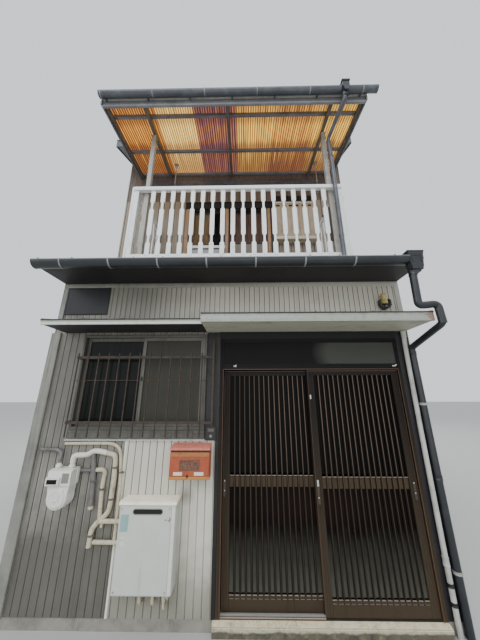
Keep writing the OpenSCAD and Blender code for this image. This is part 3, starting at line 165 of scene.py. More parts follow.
# %% [markdown]
# ## From a surface to a piece
# A piece is a mesh at the origin that rides on a body of the CAD model. Its loose points are merged,
# its faces are turned outwards, and soft shading stops at every corner sharper than 40 degrees.
# A bevel is worth its faces only where an edge catches the light.

# %% Make a piece
made = []


def raw_mesh(name, parts):
    """One mesh from several surfaces: each one's face numbers move up by the points before it."""
    points = np.vstack([p for p, groups in parts]) * 0.001
    starts = np.cumsum([0] + [len(p) for p, groups in parts])
    groups = [g + s for (p, part), s in zip(parts, starts) for g in part]
    loops = np.concatenate([g.ravel() for g in groups])
    counts = np.concatenate([np.full(len(g), g.shape[1]) for g in groups])
    mesh = bpy.data.meshes.new(name)
    mesh.vertices.add(len(points))
    mesh.vertices.foreach_set("co", points.ravel())
    mesh.loops.add(len(loops))
    mesh.loops.foreach_set("vertex_index", loops.astype(np.int32))
    mesh.polygons.add(len(counts))
    mesh.polygons.foreach_set("loop_start", np.concatenate([[0], np.cumsum(counts)[:-1]]).astype(np.int32))
    mesh.update(calc_edges=True)
    return mesh


def in_scene(name, data):
    item = bpy.data.objects.new(name, data)
    bpy.context.scene.collection.objects.link(item)
    return item


def piece(name, parts, finish, replaces=(), body="house", bevel=0):
    """A finished piece: mesh, outward faces, finish, and what it rides on and stands for. The bevel
    is in millimetres."""
    mesh = raw_mesh(name, parts)
    work = bmesh.new()
    work.from_mesh(mesh)
    bmesh.ops.remove_doubles(work, verts=work.verts, dist=1e-6)
    bmesh.ops.dissolve_degenerate(work, edges=work.edges, dist=1e-7)
    bmesh.ops.recalc_face_normals(work, faces=work.faces)
    work.to_mesh(mesh)
    work.free()
    mesh.materials.append(finishes[finish])
    mesh.shade_smooth()
    mesh.set_sharp_from_angle(angle=math.radians(40))
    item = in_scene(name, mesh)
    if bevel:
        edge = item.modifiers.new("edge", "BEVEL")
        edge.width, edge.segments, edge.limit_method = bevel * 0.001, 2, "ANGLE"
        edge.angle_limit = math.radians(50)
    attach(item, body)
    if replaces:
        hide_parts(*replaces)
    made.append(item)
    return item


def span(node):
    """A CAD node's lowest and highest corner in millimetres."""
    low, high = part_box(node)
    return np.array(low) * 1000, np.array(high) * 1000


def measured(*nodes):
    for node in nodes:
        print(node, *np.round(span(node)))


measured("door_left", "window_grille", "railing_front")

# %% [markdown]
# ## Effects that many materials share
# Forty years of weather leave the same few marks on every surface: rain streaks that run down,
# soft patches of grime, small specks of rust or lichen, and grain in the wood. Each is one shader
# node group with named sockets, so that every material sets its own sizes and strength.

# %% Helpers for nodes
def add(tree, kind, values, **settings):
    """A node with its settings, whose inputs are linked from sockets or set to plain values."""
    node = tree.nodes.new("ShaderNode" + kind)
    for key, value in settings.items():
        setattr(node, key, value)
    for key, value in values.items():
        if isinstance(value, bpy.types.NodeSocket):
            tree.links.new(value, node.inputs[key])
        else:
            node.inputs[key].default_value = value
    return node


def effect(name, outputs="Mask", **inputs):
    """An empty node group that takes a place and the named inputs, and gives the named outputs."""
    tree = bpy.data.node_groups.new(name, "ShaderNodeTree")
    for label, value in {"Place": (0, 0, 0), **inputs}.items():
        kind = "NodeSocketVector" if isinstance(value, tuple) else "NodeSocketFloat"
        tree.interface.new_socket(label, in_out="INPUT", socket_type=kind).default_value = value
    for label in outputs.split():
        tree.interface.new_socket(label, in_out="OUTPUT", socket_type="NodeSocketFloat")
    return tree, tree.nodes.new("NodeGroupInput").outputs, tree.nodes.new("NodeGroupOutput").inputs


def ramp(tree, value, low, high):
    """0 below low, 1 above high, and a straight ramp between."""
    return add(tree, "MapRange", {"Value": value, "From Min": low, "From Max": high}).outputs["Result"]


def vectors(tree, operation, a, b):
    return add(tree, "VectorMath", {0: a, 1: b}, operation=operation).outputs[0]


def scaled(tree, place, x, y, z):
    """The place with each direction multiplied by its own number."""
    return vectors(tree, "MULTIPLY", place, add(tree, "CombineXYZ", {"X": x, "Y": y, "Z": z}).outputs[0])


def noise(tree, vector, detail=4, rough=0.55, scale=1):
    return add(tree, "TexNoise", {"Vector": vector, "Scale": scale, "Detail": detail,
        "Roughness": rough}).outputs[0]


def maths(tree, operation, a, b=0):
    return add(tree, "Math", {0: a, 1: b}, operation=operation).outputs[0]


def times(tree, a, b):
    return maths(tree, "MULTIPLY", a, b)


def along(tree, place, letter):
    """One coordinate of a place."""
    return add(tree, "SeparateXYZ", {0: place}).outputs[letter]


print("helpers:", *(f.__name__ for f in (add, effect, ramp, vectors, scaled, noise, maths, times, along)))

# %% Rain streaks, grime, specks
RAIN, given, out = effect("rain streaks", Across=60, Down=2, Amount=0.5)
fine = noise(RAIN, scaled(RAIN, given["Place"], given["Across"], given["Across"], given["Down"]), 5, 0.6)
broad = noise(RAIN, scaled(RAIN, given["Place"], 3, 3, 0.9), 3)
mixed = maths(RAIN, "ADD", times(RAIN, fine, 0.62), times(RAIN, broad, 0.38))
edge = maths(RAIN, "SUBTRACT", 0.72, times(RAIN, given["Amount"], 0.4))
RAIN.links.new(ramp(RAIN, mixed, edge, maths(RAIN, "ADD", edge, 0.14)), out["Mask"])

GRIME, given, out = effect("grime patches", Size=4, Amount=0.5, Soft=0.25)
cloud = noise(GRIME, scaled(GRIME, given["Place"], given["Size"], given["Size"], given["Size"]), 7, 0.62)
edge = maths(GRIME, "SUBTRACT", 0.75, times(GRIME, given["Amount"], 0.5))
GRIME.links.new(ramp(GRIME, cloud, edge, maths(GRIME, "ADD", edge, given["Soft"])), out["Mask"])

SPECKS, given, out = effect("specks", Size=60, Amount=0.3)
spot = add(SPECKS, "TexVoronoi", {"Vector": given["Place"], "Scale": given["Size"], "Randomness": 1})
where = noise(SPECKS, scaled(SPECKS, given["Place"], 5, 5, 5), 4)
limit = times(SPECKS, times(SPECKS, given["Amount"], where), 0.75)
inside = maths(SPECKS, "SUBTRACT", limit, spot.outputs["Distance"])
SPECKS.links.new(ramp(SPECKS, inside, 0, 0.08), out["Mask"])
print("groups:", [g.name for g in bpy.data.node_groups])

# %% Wood grain, height from the ground, one soft patch, and the lines between boards
GRAIN, given, out = effect("wood grain", "Mask Height", Stretch=(60, 60, 3))
place = vectors(GRAIN, "MULTIPLY", given["Place"], given["Stretch"])
rings = maths(GRAIN, "SINE", times(GRAIN, noise(GRAIN, place, 3, 0.5, 0.35), 26))
fibre = noise(GRAIN, place, 6, 0.7, 2.2)
GRAIN.links.new(maths(GRAIN, "ADD", times(GRAIN, rings, 0.22), times(GRAIN, fibre, 0.9)), out["Mask"])
GRAIN.links.new(fibre, out["Height"])

BELOW_LEVEL, given, out = effect("below a ragged level", Height=0.5, Soft=0.25, Ragged=0.5)
ragged = maths(BELOW_LEVEL, "SUBTRACT", noise(BELOW_LEVEL, given["Place"], 5, 0.6, 9), 0.5)
level = maths(BELOW_LEVEL, "ADD", along(BELOW_LEVEL, given["Place"], "Z"), times(BELOW_LEVEL, ragged, given["Ragged"]))
above = maths(BELOW_LEVEL, "SUBTRACT", level, given["Height"])
BELOW_LEVEL.links.new(ramp(BELOW_LEVEL, above, given["Soft"], 0), out["Mask"])

PATCH, given, out = effect("soft patch", Centre=(0, 0, 0), Reach=(1, 1, 1), Soft=0.6)
away = vectors(PATCH, "DIVIDE", vectors(PATCH, "SUBTRACT", given["Place"], given["Centre"]), given["Reach"])
away = add(PATCH, "VectorMath", {0: away}, operation="LENGTH").outputs["Value"]
PATCH.links.new(ramp(PATCH, away, 1, maths(PATCH, "SUBTRACT", 1, given["Soft"])), out["Mask"])

BOARDS, given, out = effect("board lines", "Groove Ridge Board", Pitch=0.065)
count = maths(BOARDS, "DIVIDE", along(BOARDS, given["Place"], "X"), given["Pitch"])
part = maths(BOARDS, "FRACT", count)
for label, centre, reach in (("Groove", 0.07, 0.1), ("Ridge", 0.205, 0.09)):
    away = maths(BOARDS, "ABSOLUTE", maths(BOARDS, "SUBTRACT", part, centre))
    BOARDS.links.new(ramp(BOARDS, away, reach, reach * 0.4), out[label])
board = add(BOARDS, "TexWhiteNoise", {"W": maths(BOARDS, "FLOOR", count)}, noise_dimensions="1D")
BOARDS.links.new(board.outputs["Value"], out["Board"])


def colour(code):
    """A colour as the eye names it, rrggbb, turned to the light values that Blender mixes:
    c / 12.92 below 0.04045, else ((c + 0.055) / 1.055) ** 2.4."""
    c = np.array([int(code[i:i + 2], 16) for i in (0, 2, 4)]) / 255
    return (*np.where(c < 0.04045, c / 12.92, ((c + 0.055) / 1.055) ** 2.4), 1)


print(len(bpy.data.node_groups), "groups; the colour 808080 gives", np.round(colour("808080"), 3))

# %% [markdown]
# ## A finish in layers
# A painter builds a worn surface up in layers, and so does this class: a base colour, then any
# number of masks, each with the colour, the roughness and the depth that it brings. What is the same
# all over stays on the shader's own sockets; only colours and masks travel through links.

# %% The layered finish
class Finish:
    def __init__(self, name, base, rough=0.5, metallic=0, **sockets):
        self.name, self.material = name, bpy.data.materials.new("worn " + name)
        self.material.use_nodes = True
        self.tree = self.material.node_tree
        self.shader = self.tree.nodes["Principled BSDF"]
        self.place = self.tree.nodes.new("ShaderNodeTexCoord").outputs["Object"]
        self.base, self.rough, self.height = colour(base), rough, None
        plain = {"Metallic": metallic, "Base Color": self.base, "Roughness": rough, **sockets}
        for key, value in plain.items():
            self.shader.inputs[key.replace("_", " ")].default_value = value

    def mask(self, group, output="Mask", **values):
        node = self.tree.nodes.new("ShaderNodeGroup")
        node.node_tree = group
        self.tree.links.new(self.place, node.inputs["Place"])
        for key, value in values.items():
            node.inputs[key].default_value = value
        return node.outputs[output]

    def mixed(self, socket, strong, old, new, kind="FLOAT", first=2, result=0):
        """The old value blended towards the new one by the mask, and linked to the shader. A colour
        uses other sockets of the Mix node than a number."""
        mix = add(self.tree, "Mix", {0: strong, first: old, first + 1: new}, data_type=kind, clamp_factor=True)
        self.tree.links.new(mix.outputs[result], self.shader.inputs[socket])
        return mix.outputs[result]

    def layer(self, mask, code, strength=1, rough=None, output="Mask", **values):
        """Mixes a colour in where the mask is 1, and moves the roughness towards the layer's own. The
        mask is a socket, or one of the groups above with its values."""
        if isinstance(mask, bpy.types.NodeTree):
            mask = self.mask(mask, output, **values)
        strong = times(self.tree, mask, strength)
        self.base = self.mixed("Base Color", strong, self.base, colour(code), "RGBA", 6, 2)
        if rough is not None:
            self.rough = self.mixed("Roughness", strong, self.rough, rough)
        return self

    def bump(self, height, depth):
        """Raises the surface by the height, at most depth millimetres."""
        node = add(self.tree, "Bump", {"Height": height, "Distance": depth * 0.001, "Strength": 1})
        if self.height is not None:
            self.tree.links.new(self.height, node.inputs["Normal"])
        self.height = node.outputs["Normal"]
        self.tree.links.new(self.height, self.shader.inputs["Normal"])
        return self

    def wave(self, vector, **settings):
        return noise(self.tree, vectors(self.tree, "MULTIPLY", self.place, vector), **settings)


def weathered(name, shades, rough=(0.45, 0.8), metallic=0, across=55, down=2.2, streaks=0.4, wash=0.6, size=5,
        patches=0.45, cloud=0.5, specks=0, speck="6b3a1e", grit=0.25, **sockets):
    """The usual order: pale patches where the sun has bleached it, then grime, streaks and specks.
    The shades are the base, the bleached tone and the dirt."""
    base, pale, dirt = shades.split()
    f = Finish(name, base, rough[0], metallic, **sockets)
    f.layer(GRIME, pale, 0.5, Size=size * 1.7, Amount=0.55, Soft=0.3)
    f.layer(GRIME, dirt, cloud, rough[1], Size=size, Amount=patches)
    f.layer(RAIN, dirt, wash, rough[1], Across=across, Down=down, Amount=streaks)
    if specks:
        f.layer(SPECKS, speck, 0.8, 0.9, Size=70, Amount=specks)
    return f.bump(f.wave((320, 320, 320), detail=3), grit)


print("helpers ready")

# %% [markdown]
# ## The finishes
# The colours were read from the photograph and named in plain words. The siding is enamelled
# steel gone chalky, the entrance is bronze-anodised aluminium, the timber is bare and grey, and the
# plastic roof was once one colour but faded sheet by sheet as it was patched.

# %% Walls and roofs
finishes = {}


def keep(f):
    finishes[f.name] = f.material
    return f


def paint(name, *shades, **options):
    return keep(weathered(name, *shades, **options))


def boarded(name, shades, line, pitch=0.065, **options):
    """Pressed siding: each board a little darker or lighter than the next, a painted shade in each
    groove and a painted highlight on the ridge beside it."""
    f = paint(name, shades, **options)
    pale, dirt = shades.split()[1:]
    f.layer(BOARDS, dirt, 0.14, output="Board", Pitch=pitch)
    # painted highlight on each ridge and painted shade in each groove, as the pressed grooves are too small to
    # shade themselves
    f.layer(BOARDS, pale, 0.6, output="Ridge", Pitch=pitch)
    return f.layer(BOARDS, line, 0.85, output="Groove", Pitch=pitch)


chalk = dict(rough=(0.5, 0.75), across=60, down=0.9, streaks=0.28, wash=0.4, size=2.2, patches=0.36, cloud=0.35,
    grit=0.1)
cream = boarded("cream siding", "c6c4b7 e0ded4 8b8676", "6f6d62", **chalk)
cream.layer(BELOW_LEVEL, "6a675a", 0.7, 0.9, Height=0.3, Soft=0.3)
cream.layer(PATCH, "dcd8ca", 0.5, Centre=(-0.26, -0.07, 0.55), Reach=(0.2, 1, 0.5), Soft=0.8)
# a dark mark right of the heater's lid: partly a stain, partly a painted shadow
cream.layer(PATCH, "4b4436", 0.6, 0.85, Centre=(-0.36, -0.07, 0.9), Reach=(0.09, 1, 0.09), Soft=0.9)
chalk.update(streaks=0.5, wash=0.55, patches=0.55, cloud=0.5, size=3)
dark = boarded("dark siding", "84827a a2a096 504d45", "33312b", **chalk)
dark.layer(BELOW_LEVEL, "4a4840", 0.7, 0.9, Height=0.5, Soft=0.4)
# darker at the left end beside the window: painted shadow of the plants in front
dark.layer(PATCH, "484640", 0.65, Centre=(-1.58, -0.07, 1.85), Reach=(0.3, 1, 0.8), Soft=0.6)
chalk.update(streaks=0.3, wash=0.35, patches=0.4, cloud=0.4)
band = boarded("upper band", "c0bdb0 d4d1c6 7b7668", "605b50", pitch=0.053, **chalk)
# darker towards the left end: painted shade
band.layer(PATCH, "55534d", 0.75, Centre=(-1.2, -0.07, 2.7), Reach=(1.1, 1, 1), Soft=0.7)
upper = boarded("upper siding", "8f8272 a89b8a 5f554a", "473d35", pitch=0.09, **chalk)
# a darker band along the top, under the balcony roof: painted shade
upper.layer(PATCH, "54473f", 0.75, Centre=(0, 0.8, 5.33), Reach=(9, 1, 0.5), Soft=0.03)
boarded("back siding", "a39c8e b9b3a6 6f675a", "58513f", pitch=0.09, **chalk)
paint("party wall sheet", "8b867a a29c8d 5b4636", (0.5, 0.85), across=14, down=0.5, streaks=0.5, size=1.6,
    patches=0.5, specks=0.5, grit=0.2)
paint("concrete", "8f8b82 a8a498 4b4842", (0.8, 0.95), across=20, down=2, size=6, patches=0.6, specks=0.3,
    speck="5d5a52", grit=0.8)
step = paint("step paint", "5c5749 777160 33302a", (0.6, 0.9), across=18, down=9, size=9, patches=0.6, cloud=0.7,
    specks=0.5, speck="57534a", grit=0.5)
step.layer(GRIME, "45433e", 0.8, 0.9, Size=11, Amount=0.34, Soft=0.1)
lifted = maths(step.tree, "SUBTRACT", 1, step.mask(BELOW_LEVEL, Height=0.034, Soft=0.014, Ragged=0.05))
step.layer(maths(step.tree, "MULTIPLY", lifted, 0.95), "c2bba3", 0.95, 0.6)
step.layer(GRIME, "8d8468", 0.6, 0.8, Size=17, Amount=0.45, Soft=0.12)
step.layer(GRIME, "4d4a41", 0.7, 0.9, Size=42, Amount=0.3, Soft=0.06)
paint("mortar top", "e4d8b4 f3e9cc 8f8261", (0.7, 0.9), size=12, patches=0.5, cloud=0.75, specks=0.5,
    speck="57534a", grit=0.8)
paint("roof tile", "50555a 6d7276 33363a", (0.35, 0.7), across=25, down=9, size=3.5, patches=0.5, specks=0.4,
    speck="7c8173", grit=0.4)
paint("ridge tile", "474b50 666b70 2f3236", (0.35, 0.7), across=25, down=9, size=5, grit=0.4)
paint("painted sheet roof", "5a5f62 767b7c 40403c", (0.4, 0.7), across=9, down=9, size=3, patches=0.55, specks=0.5,
    grit=0.2)
print(len(finishes), "finishes")

# %% Timber, paint and metal
def timber(name, shades, stretch, rough=(0.6, 0.9), **options):
    """Bare wood: the stretch is short along the grain."""
    f = paint(name, shades, rough, grit=0.2, **options)
    f.layer(GRAIN, shades.split()[2], 0.5, Stretch=stretch)
    return f.bump(f.mask(GRAIN, "Height", Stretch=stretch), 0.8)


timber("grey deck", "7c756a 968f83 4a443b", (4, 70, 70), size=4)
timber("dark soffit", "262225 353034 151316", (3, 60, 60), (0.55, 0.8), size=4)
timber("weathered rafter", "6d6861 958f86 3b3631", (60, 3, 60), size=5, patches=0.5)
timber("weathered purlin", "828387 aaaaae 46444a", (3, 60, 60), size=5, patches=0.5)
timber("rafter tail", "6a5844 86735c 3c3026", (60, 3, 60), size=5)
timber("worn post", "b0aea6 cccac2 6e685e", (50, 50, 2.2), (0.5, 0.85), size=6, patches=0.5)
timber("floor board", "7a5d40 8f714f 4c3826", (3, 60, 60), (0.4, 0.7), size=4)
timber("window timber", "a98560 c7a582 4d3524", (60, 60, 3), (0.5, 0.8), size=6)
paint("railing paint", "eceeed f8f9f8 a8a49a", (0.45, 0.7), across=60, down=2.5, size=7, patches=0.4, specks=0.3,
    speck="7d6a50")
paint("canopy enamel", "a1a69c b9beb4 6d6a5c", (0.35, 0.65), across=14, down=14, grit=0.1)
paint("canopy soffit", "b3b29f c4c3b2 7d7966", (0.45, 0.7), across=6, down=6, size=3, grit=0.1)
paint("canopy top", "6e7068 8c8e84 4a3a2c", (0.5, 0.8), across=6, down=6, size=4, patches=0.6, specks=0.6, grit=0.2)
paint("white band", "c5c8c0 d8dad4 8c8368", (0.35, 0.6), across=40, down=12, size=8, patches=0.35, specks=0.4,
    speck="7a4a26", grit=0.1)
paint("joint strip", "e4e2d8 f2f0e8 a8a292", (0.4, 0.6), across=60, down=1, size=4, grit=0.1)
paint("dark lip", "2b2e30 42464a 1f1a17", (0.4, 0.7), across=30, down=12, size=8, specks=0.4)
paint("rust edge", "5b3a26 7c5233 2f1d12", (0.75, 0.95), across=40, down=20, size=30, patches=0.6, grit=1)
paint("gutter plastic", "25282c 3a3e43 1b1c20", (0.3, 0.6), across=30, down=10, patches=0.5, grit=0.1)
# paler than the troughs: a painted highlight along the rolled bead
paint("gutter bead highlight", "6f7478 9296a0 484a50", (0.3, 0.5), across=30, down=10, size=6, grit=0.1)
paint("high gutter", "4d5057 787c85 303237", (0.3, 0.55), across=30, down=10, patches=0.5, grit=0.1)
paint("gutter strap", "83868a a3a6aa 4e4c48", size=20, patches=0.5, specks=0.4, grit=0.2)
paint("strap metal", "96948c b9b7b0 5d5040", (0.4, 0.7), size=20, patches=0.5, specks=0.5, grit=0.3)
paint("white pipe", "b9bab4 d4d5d0 4e4a42", (0.4, 0.7), across=38, down=1.6, streaks=0.55, size=5, patches=0.5,
    grit=0.15)
paint("apron sheet", "55544e 6e6d66 33312c", across=60, down=2, streaks=0.5, size=6, patches=0.5, grit=0.2)
trim = paint("grey trim", "7e7e77 98988f 504e47", across=40, down=1.5, streaks=0.45, size=4, grit=0.15)
# lighter towards the right: painted light, the left end staying darker as in the plants' shade
trim.layer(PATCH, "bdbdb2", 0.75, Centre=(1.7, -0.07, 2.9), Reach=(2.6, 1, 0.6), Soft=0.8)
paint("navy panel", "12151b 1d222b 0d0f12", (0.5, 0.75), across=30, down=3, size=4, grit=0.1)
paint("bare strip", "151416 232124 0d0c0d", across=30, down=1.2, streaks=0.5, size=6, patches=0.55)
print(len(finishes), "finishes")

# %% The entrance's aluminium
def anodised(name, shades, rough, low="", metallic=0.5, streaks=0.35, gleam=0.5):
    """Anodised aluminium: fine lines along the length, where the section left the press, and another
    tone towards the ground, low or else the pale one. Where it is paler, as on the bronze frame, it is
    painted light off the street below; on the slat noses it is darker, painted shade."""
    base, pale, dirt = shades.split()
    f = Finish(name, base, rough, metallic, Specular_IOR_Level=gleam)
    # towards the ground: painted light where the low tone is paler, painted shade on the noses
    f.layer(BELOW_LEVEL, low or pale, 0.9, Height=0.1, Soft=1.5, Ragged=0.1)
    f.layer(f.wave((500, 500, 5), detail=2), pale, 0.25)
    f.layer(RAIN, dirt, 0.5, rough + 0.25, Across=90, Down=1.5, Amount=streaks)
    f.layer(GRIME, dirt, 0.4, rough + 0.2, Size=9, Amount=0.35, Soft=0.25)
    return keep(f.bump(f.wave((700, 700, 9), detail=2), 0.05))


# the paler low tone is painted light off the street; the patch darkens the top by the transom: painted shade under
# the canopy
bronze = anodised("bronze frame", "1b1612 2c241d 100c0a", 0.45, "4c4133", metallic=0.15, gleam=0.2)
bronze.layer(PATCH, "0f0e12", 0.75, Centre=(0.8, -0.07, 2.25), Reach=(3, 1, 0.36), Soft=0.3)
# the fins' sides, kept darker than their nose: painted shade
anodised("bronze slat", "15110e 241d18 0b0908", 0.5, "2c241c", metallic=0.1, gleam=0.12)
# a paler copy of the fins' bronze on each nose: a painted highlight, darkened near the top and low down by painted
# shade
nose = anodised("slat nose highlight", "62544a 7c6c5f 33281f", 0.4, "2f241a", metallic=0.2, gleam=0.25)
nose.layer(PATCH, "2c221a", 0.8, Centre=(-0.05, -0.03, 1.65), Reach=(0.5, 1, 0.9), Soft=0.7)
nose.layer(BELOW_LEVEL, "2b241e", 0.7, Height=0.85, Soft=0.45, Ragged=0.15)
anodised("brown rail", "453829 574936 251d14", 0.5, "453829", metallic=0.1, gleam=0.2)
# paler bronze for the thin strips on lit edges: painted highlights; the track bed wears it too
anodised("bronze edge", "5c473c 7a6152 2f241d", 0.45, "66503e", metallic=0.2, gleam=0.3)
anodised("silver frame", "605f59 7e7d76 37342e", 0.4, "2b2823", metallic=0.4, streaks=0.55, gleam=0.25)
anodised("bright metal", "b9bab6 d9dad6 6a675f", 0.3, metallic=0.7)
anodised("dull plate", "3d372f 5b544a 221e19", 0.45, metallic=0.3, gleam=0.3)
# pale beads on the rails between the slats: partly the bead, partly a painted highlight on the rails' lit top edges
anodised("glazing bead", "8d8376 b0a698 544c41", 0.4, metallic=0.3)
print(len(finishes), "finishes")

# %% The fittings
paint("grille rust", "3a3129 57493d 201a15", (0.6, 0.9), metallic=0.2, across=60, down=8, size=30, patches=0.6,
    specks=0.7, speck="55463a", grit=0.6)
paint("mailbox red", "a24a2b b8633f 5a2818", (0.45, 0.7), across=40, down=6, size=14, specks=0.35, speck="d8a58c",
    grit=0.15)
paint("mailbox lid", "c67363 e8a292 8a4c41", (0.45, 0.75), across=30, down=30, size=14, patches=0.5, specks=0.4,
    speck="d9a596", grit=0.15)
# the inside, seen through the gap under the lid: painted shade
paint("shaded mailbox inside", "43140c 54201a 2a0d08", size=10)
paint("mailbox band", "a3683a b98052 5f3820", (0.4, 0.7), size=18, patches=0.4, grit=0.1)
paint("mailbox relief", "6a4432 b59a80 33201a", (0.45, 0.75), size=60, patches=0.6, cloud=0.8, grit=0.2)
paint("mailbox rim", "b27c3c c9954f 6b4524", (0.45, 0.75), size=22, specks=0.4, grit=0.2)
paint("heater enamel", "c3c8c0 d2d6d0 8d8b80", (0.28, 0.5), across=26, down=1.8, size=5, patches=0.3, streaks=0.3,
    wash=0.35, cloud=0.35, specks=0.2, speck="9a5a30", grit=0.05, Coat_Weight=0.15)
paint("heater lid", "fbf3dc fffcf0 c9b285", (0.4, 0.7), across=20, down=20, size=9, patches=0.5, specks=0.4,
    speck="8a5a30", grit=0.1)
paint("pale plate", "86aaa6 a0c0bc 63807c", (0.3, 0.5), size=12, patches=0.3, grit=0.02)
paint("bare white plate", "d8d6cc e6e4dc a09a88", (0.3, 0.5), size=30, patches=0.4, grit=0.02)
paint("meter paint", "dcdcd4 f0efe9 4a463c", across=40, down=6, streaks=0.3, size=26, patches=0.36, cloud=0.6,
    wash=0.7, grit=0.3)
paint("pipe wrap", "c3baa0 e0d9c4 5d533e", (0.6, 0.9), across=30, down=12, size=18, patches=0.5, specks=0.3,
    grit=0.8)
paint("mauve pipe", "6c6867 878382 3f3b39", (0.5, 0.8), size=16, patches=0.5, grit=0.3)
paint("clamp metal", "5d5852 8a857c 2e2a26", (0.5, 0.8), size=30, patches=0.5, grit=0.4)
paint("grey pipe", "7c7a72 96948b 4a463e", (0.5, 0.8), size=16, patches=0.5, grit=0.3)
paint("black plastic", "17181a 2a2b2d 3b3830", (0.4, 0.7), size=20, patches=0.3, grit=0.1)
paint("insulator glaze", "aea05a cdc284 5f5426", (0.2, 0.4), size=30, grit=0.05, Coat_Weight=0.4)
paint("shutter enamel", "ab9a84 b8a692 73644f", across=60, down=2, size=5, grit=0.1)
paint("box ledge", "d6ccb8 e4dccc a0927a", across=40, down=10, size=8, grit=0.1)
paint("deep shadow", "0c0c0d 161616 1d1b18", (0.7, 0.9), size=10)


print(len(finishes), "finishes")


# %% Glass
def glass(name, shades, rough, amount, bump=0, gleam=0.5):
    """Old glass: a film of grime, and rain streaks that take its gleam."""
    base, pale, dirt = shades.split()
    f = Finish(name, base, rough, Specular_IOR_Level=gleam)
    f.layer(GRIME, pale, 0.6, Size=2.2, Amount=0.5, Soft=0.5)
    f.layer(RAIN, dirt, 0.5, min(rough + 0.25, 1), Across=45, Down=1.2, Amount=amount)
    if bump:
        f.bump(f.wave((260, 260, 260), detail=1), bump)
    return keep(f)


glass("dark pane", "151716 232625 2a2a29", 0.15, 0.5, gleam=0.18)
thin = glass("balcony pane", "1a1715 2a2521 35302a", 0.3, 0.35, gleam=0.12)
thin.shader.inputs["Alpha"].default_value = 0.2
fan = glass("transom pane", "0b0b0d 131316 1b1a1d", 0.25, 0.25, gleam=0.1)
# a paler patch on the right: a painted reflection
fan.layer(PATCH, "4b4d48", 0.75, Centre=(1.33, -0.07, 2.14), Reach=(0.5, 1, 0.3), Soft=0.3)
door_pane = glass("obscured pane", "080707 0e0c0b 13100e", 0.35, 0.3, bump=0.6, gleam=0.08)
door_pane.layer(PATCH, "241510", 0.7, Centre=(0.8, -0.03, 0.8), Reach=(1.2, 1, 0.22), Soft=0.9)
# paler towards the bottom: painted light from the street through the obscured glass
door_pane.layer(BELOW_LEVEL, "5a5b52", 0.9, 0.45, Height=0.16, Soft=0.5, Ragged=0.2)
glass("window obscured pane", "34332c 45433d 211f18", 0.35, 0.45, bump=0.6, gleam=0.25)
glass("grey low pane", "a7adab bcc1bf 80837f", 0.4, 0.35, bump=0.4, gleam=0.3)
glass("brown low pane", "7b756b 918b80 59544b", 0.4, 0.35, bump=0.4, gleam=0.2)
print(len(finishes), "finishes")

# %% [markdown]
# ## Camera, floor and light
# The photograph was taken with a very wide lens from the street, two and a half metres in front of
# the wall and 1.7 m above the ground, tilted up by 17 degrees. The light is an overcast sky: one
# very large soft light above the street, weaker ones from the side and off the pale street itself,
# and a pale even surround.

# %% Camera and light
camera_data = bpy.data.cameras.new("street camera")
camera_data.lens, camera_data.sensor_width, camera_data.clip_end = 13.86, 36, 200
camera = in_scene("street camera", camera_data)
camera.location = (0.150, -2.544, 1.737)
camera.rotation_euler = (math.radians(90 + 16.79), math.radians(0.09), math.radians(0.89))
bpy.context.scene.camera = camera

world = bpy.data.worlds.new("pale surround")
world.use_nodes = True
sky = world.node_tree.nodes["Background"].inputs
sky["Color"].default_value, sky["Strength"].default_value = colour("e4e9ee"), 1.3
bpy.context.scene.world = world


def soft_light(name, place, aim, size, power, tint="ffffff"):
    data = bpy.data.lights.new(name, "AREA")
    data.shape, data.size, data.energy, data.color = "SQUARE", size, power, colour(tint)[:3]
    lamp = in_scene(name, data)
    lamp.location = place
    gap = np.subtract(aim, place)
    lamp.rotation_euler = (math.atan2(math.hypot(gap[0], gap[1]), -gap[2]), 0,
        math.atan2(gap[1], gap[0]) - math.pi / 2)


soft_light("sky over the street", (-1.5, -9, 11), (0, 0, 2.5), 9, 750, "f4f8ff")
soft_light("left of the street", (-9, -5, 5), (0, 1, 2.5), 6, 200)
soft_light("pale street", (0.5, -7, 0.4), (0, 0, 2.6), 7, 180, "fff8ee")
soft_light("behind the house", (4, 14, 11), (0, 4, 3), 9, 600)
soft_light("above the roof", (0, 3, 14), (0, 3, 0), 8, 500)

FAR = 60000
corners = np.array([[(x, y, -1) for x in (-FAR, FAR)] for y in (-FAR, FAR)])
floor = in_scene("studio floor", raw_mesh("studio floor", [grid(corners, False, False)]))
floor.data.materials.append(Finish("studio floor", "b9b9b6", 0.9).material)
print("camera at", tuple(round(v, 3) for v in camera.location))

# %% [markdown]
# ## The frame's own pieces
# Walls, floors, beams and glass keep their CAD shape, which is already right, and only get their
# finish. The rest is replaced further down by pieces with the detail that a photograph shows.

# %% Finishes for the pieces that stay
stay = {
    "concrete": "foundation ground_floor", "step paint": "entrance_step", "floor board": "upper_floor",
    "dark siding": "front_wall_left", "deep shadow": "front_wall_over_door", "roof tile": "main_roof",
    "party wall sheet": "side_wall_left side_wall_right gable_wall_left gable_wall_right",
    "dark soffit": "front_wall_right eave_soffit", "upper siding": "upper_front_wall",
    "back siding": "back_wall upper_back_wall", "painted sheet roof": "lean_to_roof",
    "obscured pane": "door_left_glass door_right_glass", "dark pane": "back_glass",
    "grey deck": "balcony_deck", "weathered rafter": "balcony_rafters",
    "weathered purlin": "balcony_purlins", "rafter tail": "rafter_tails",
}
for finish, nodes in stay.items():
    for node in nodes.split():
        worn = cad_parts[node].data.materials
        worn.clear()
        worn.append(finishes[finish])
print("finishes on the frame's own pieces:", list(stay))


# %% [markdown]
# ## Ribbed metal siding
# The walls wear vertical sheet-metal siding: flat boards a hand wide with a groove and a small ridge
# between them, pressed from one sheet. The line is a profile across the wall, carried straight down
# it, so a panel is only a grid two rows high, however wide it is. The grooves stand at whole steps
# from the middle of the house, where the finish also paints their shade and the ridges' highlight.

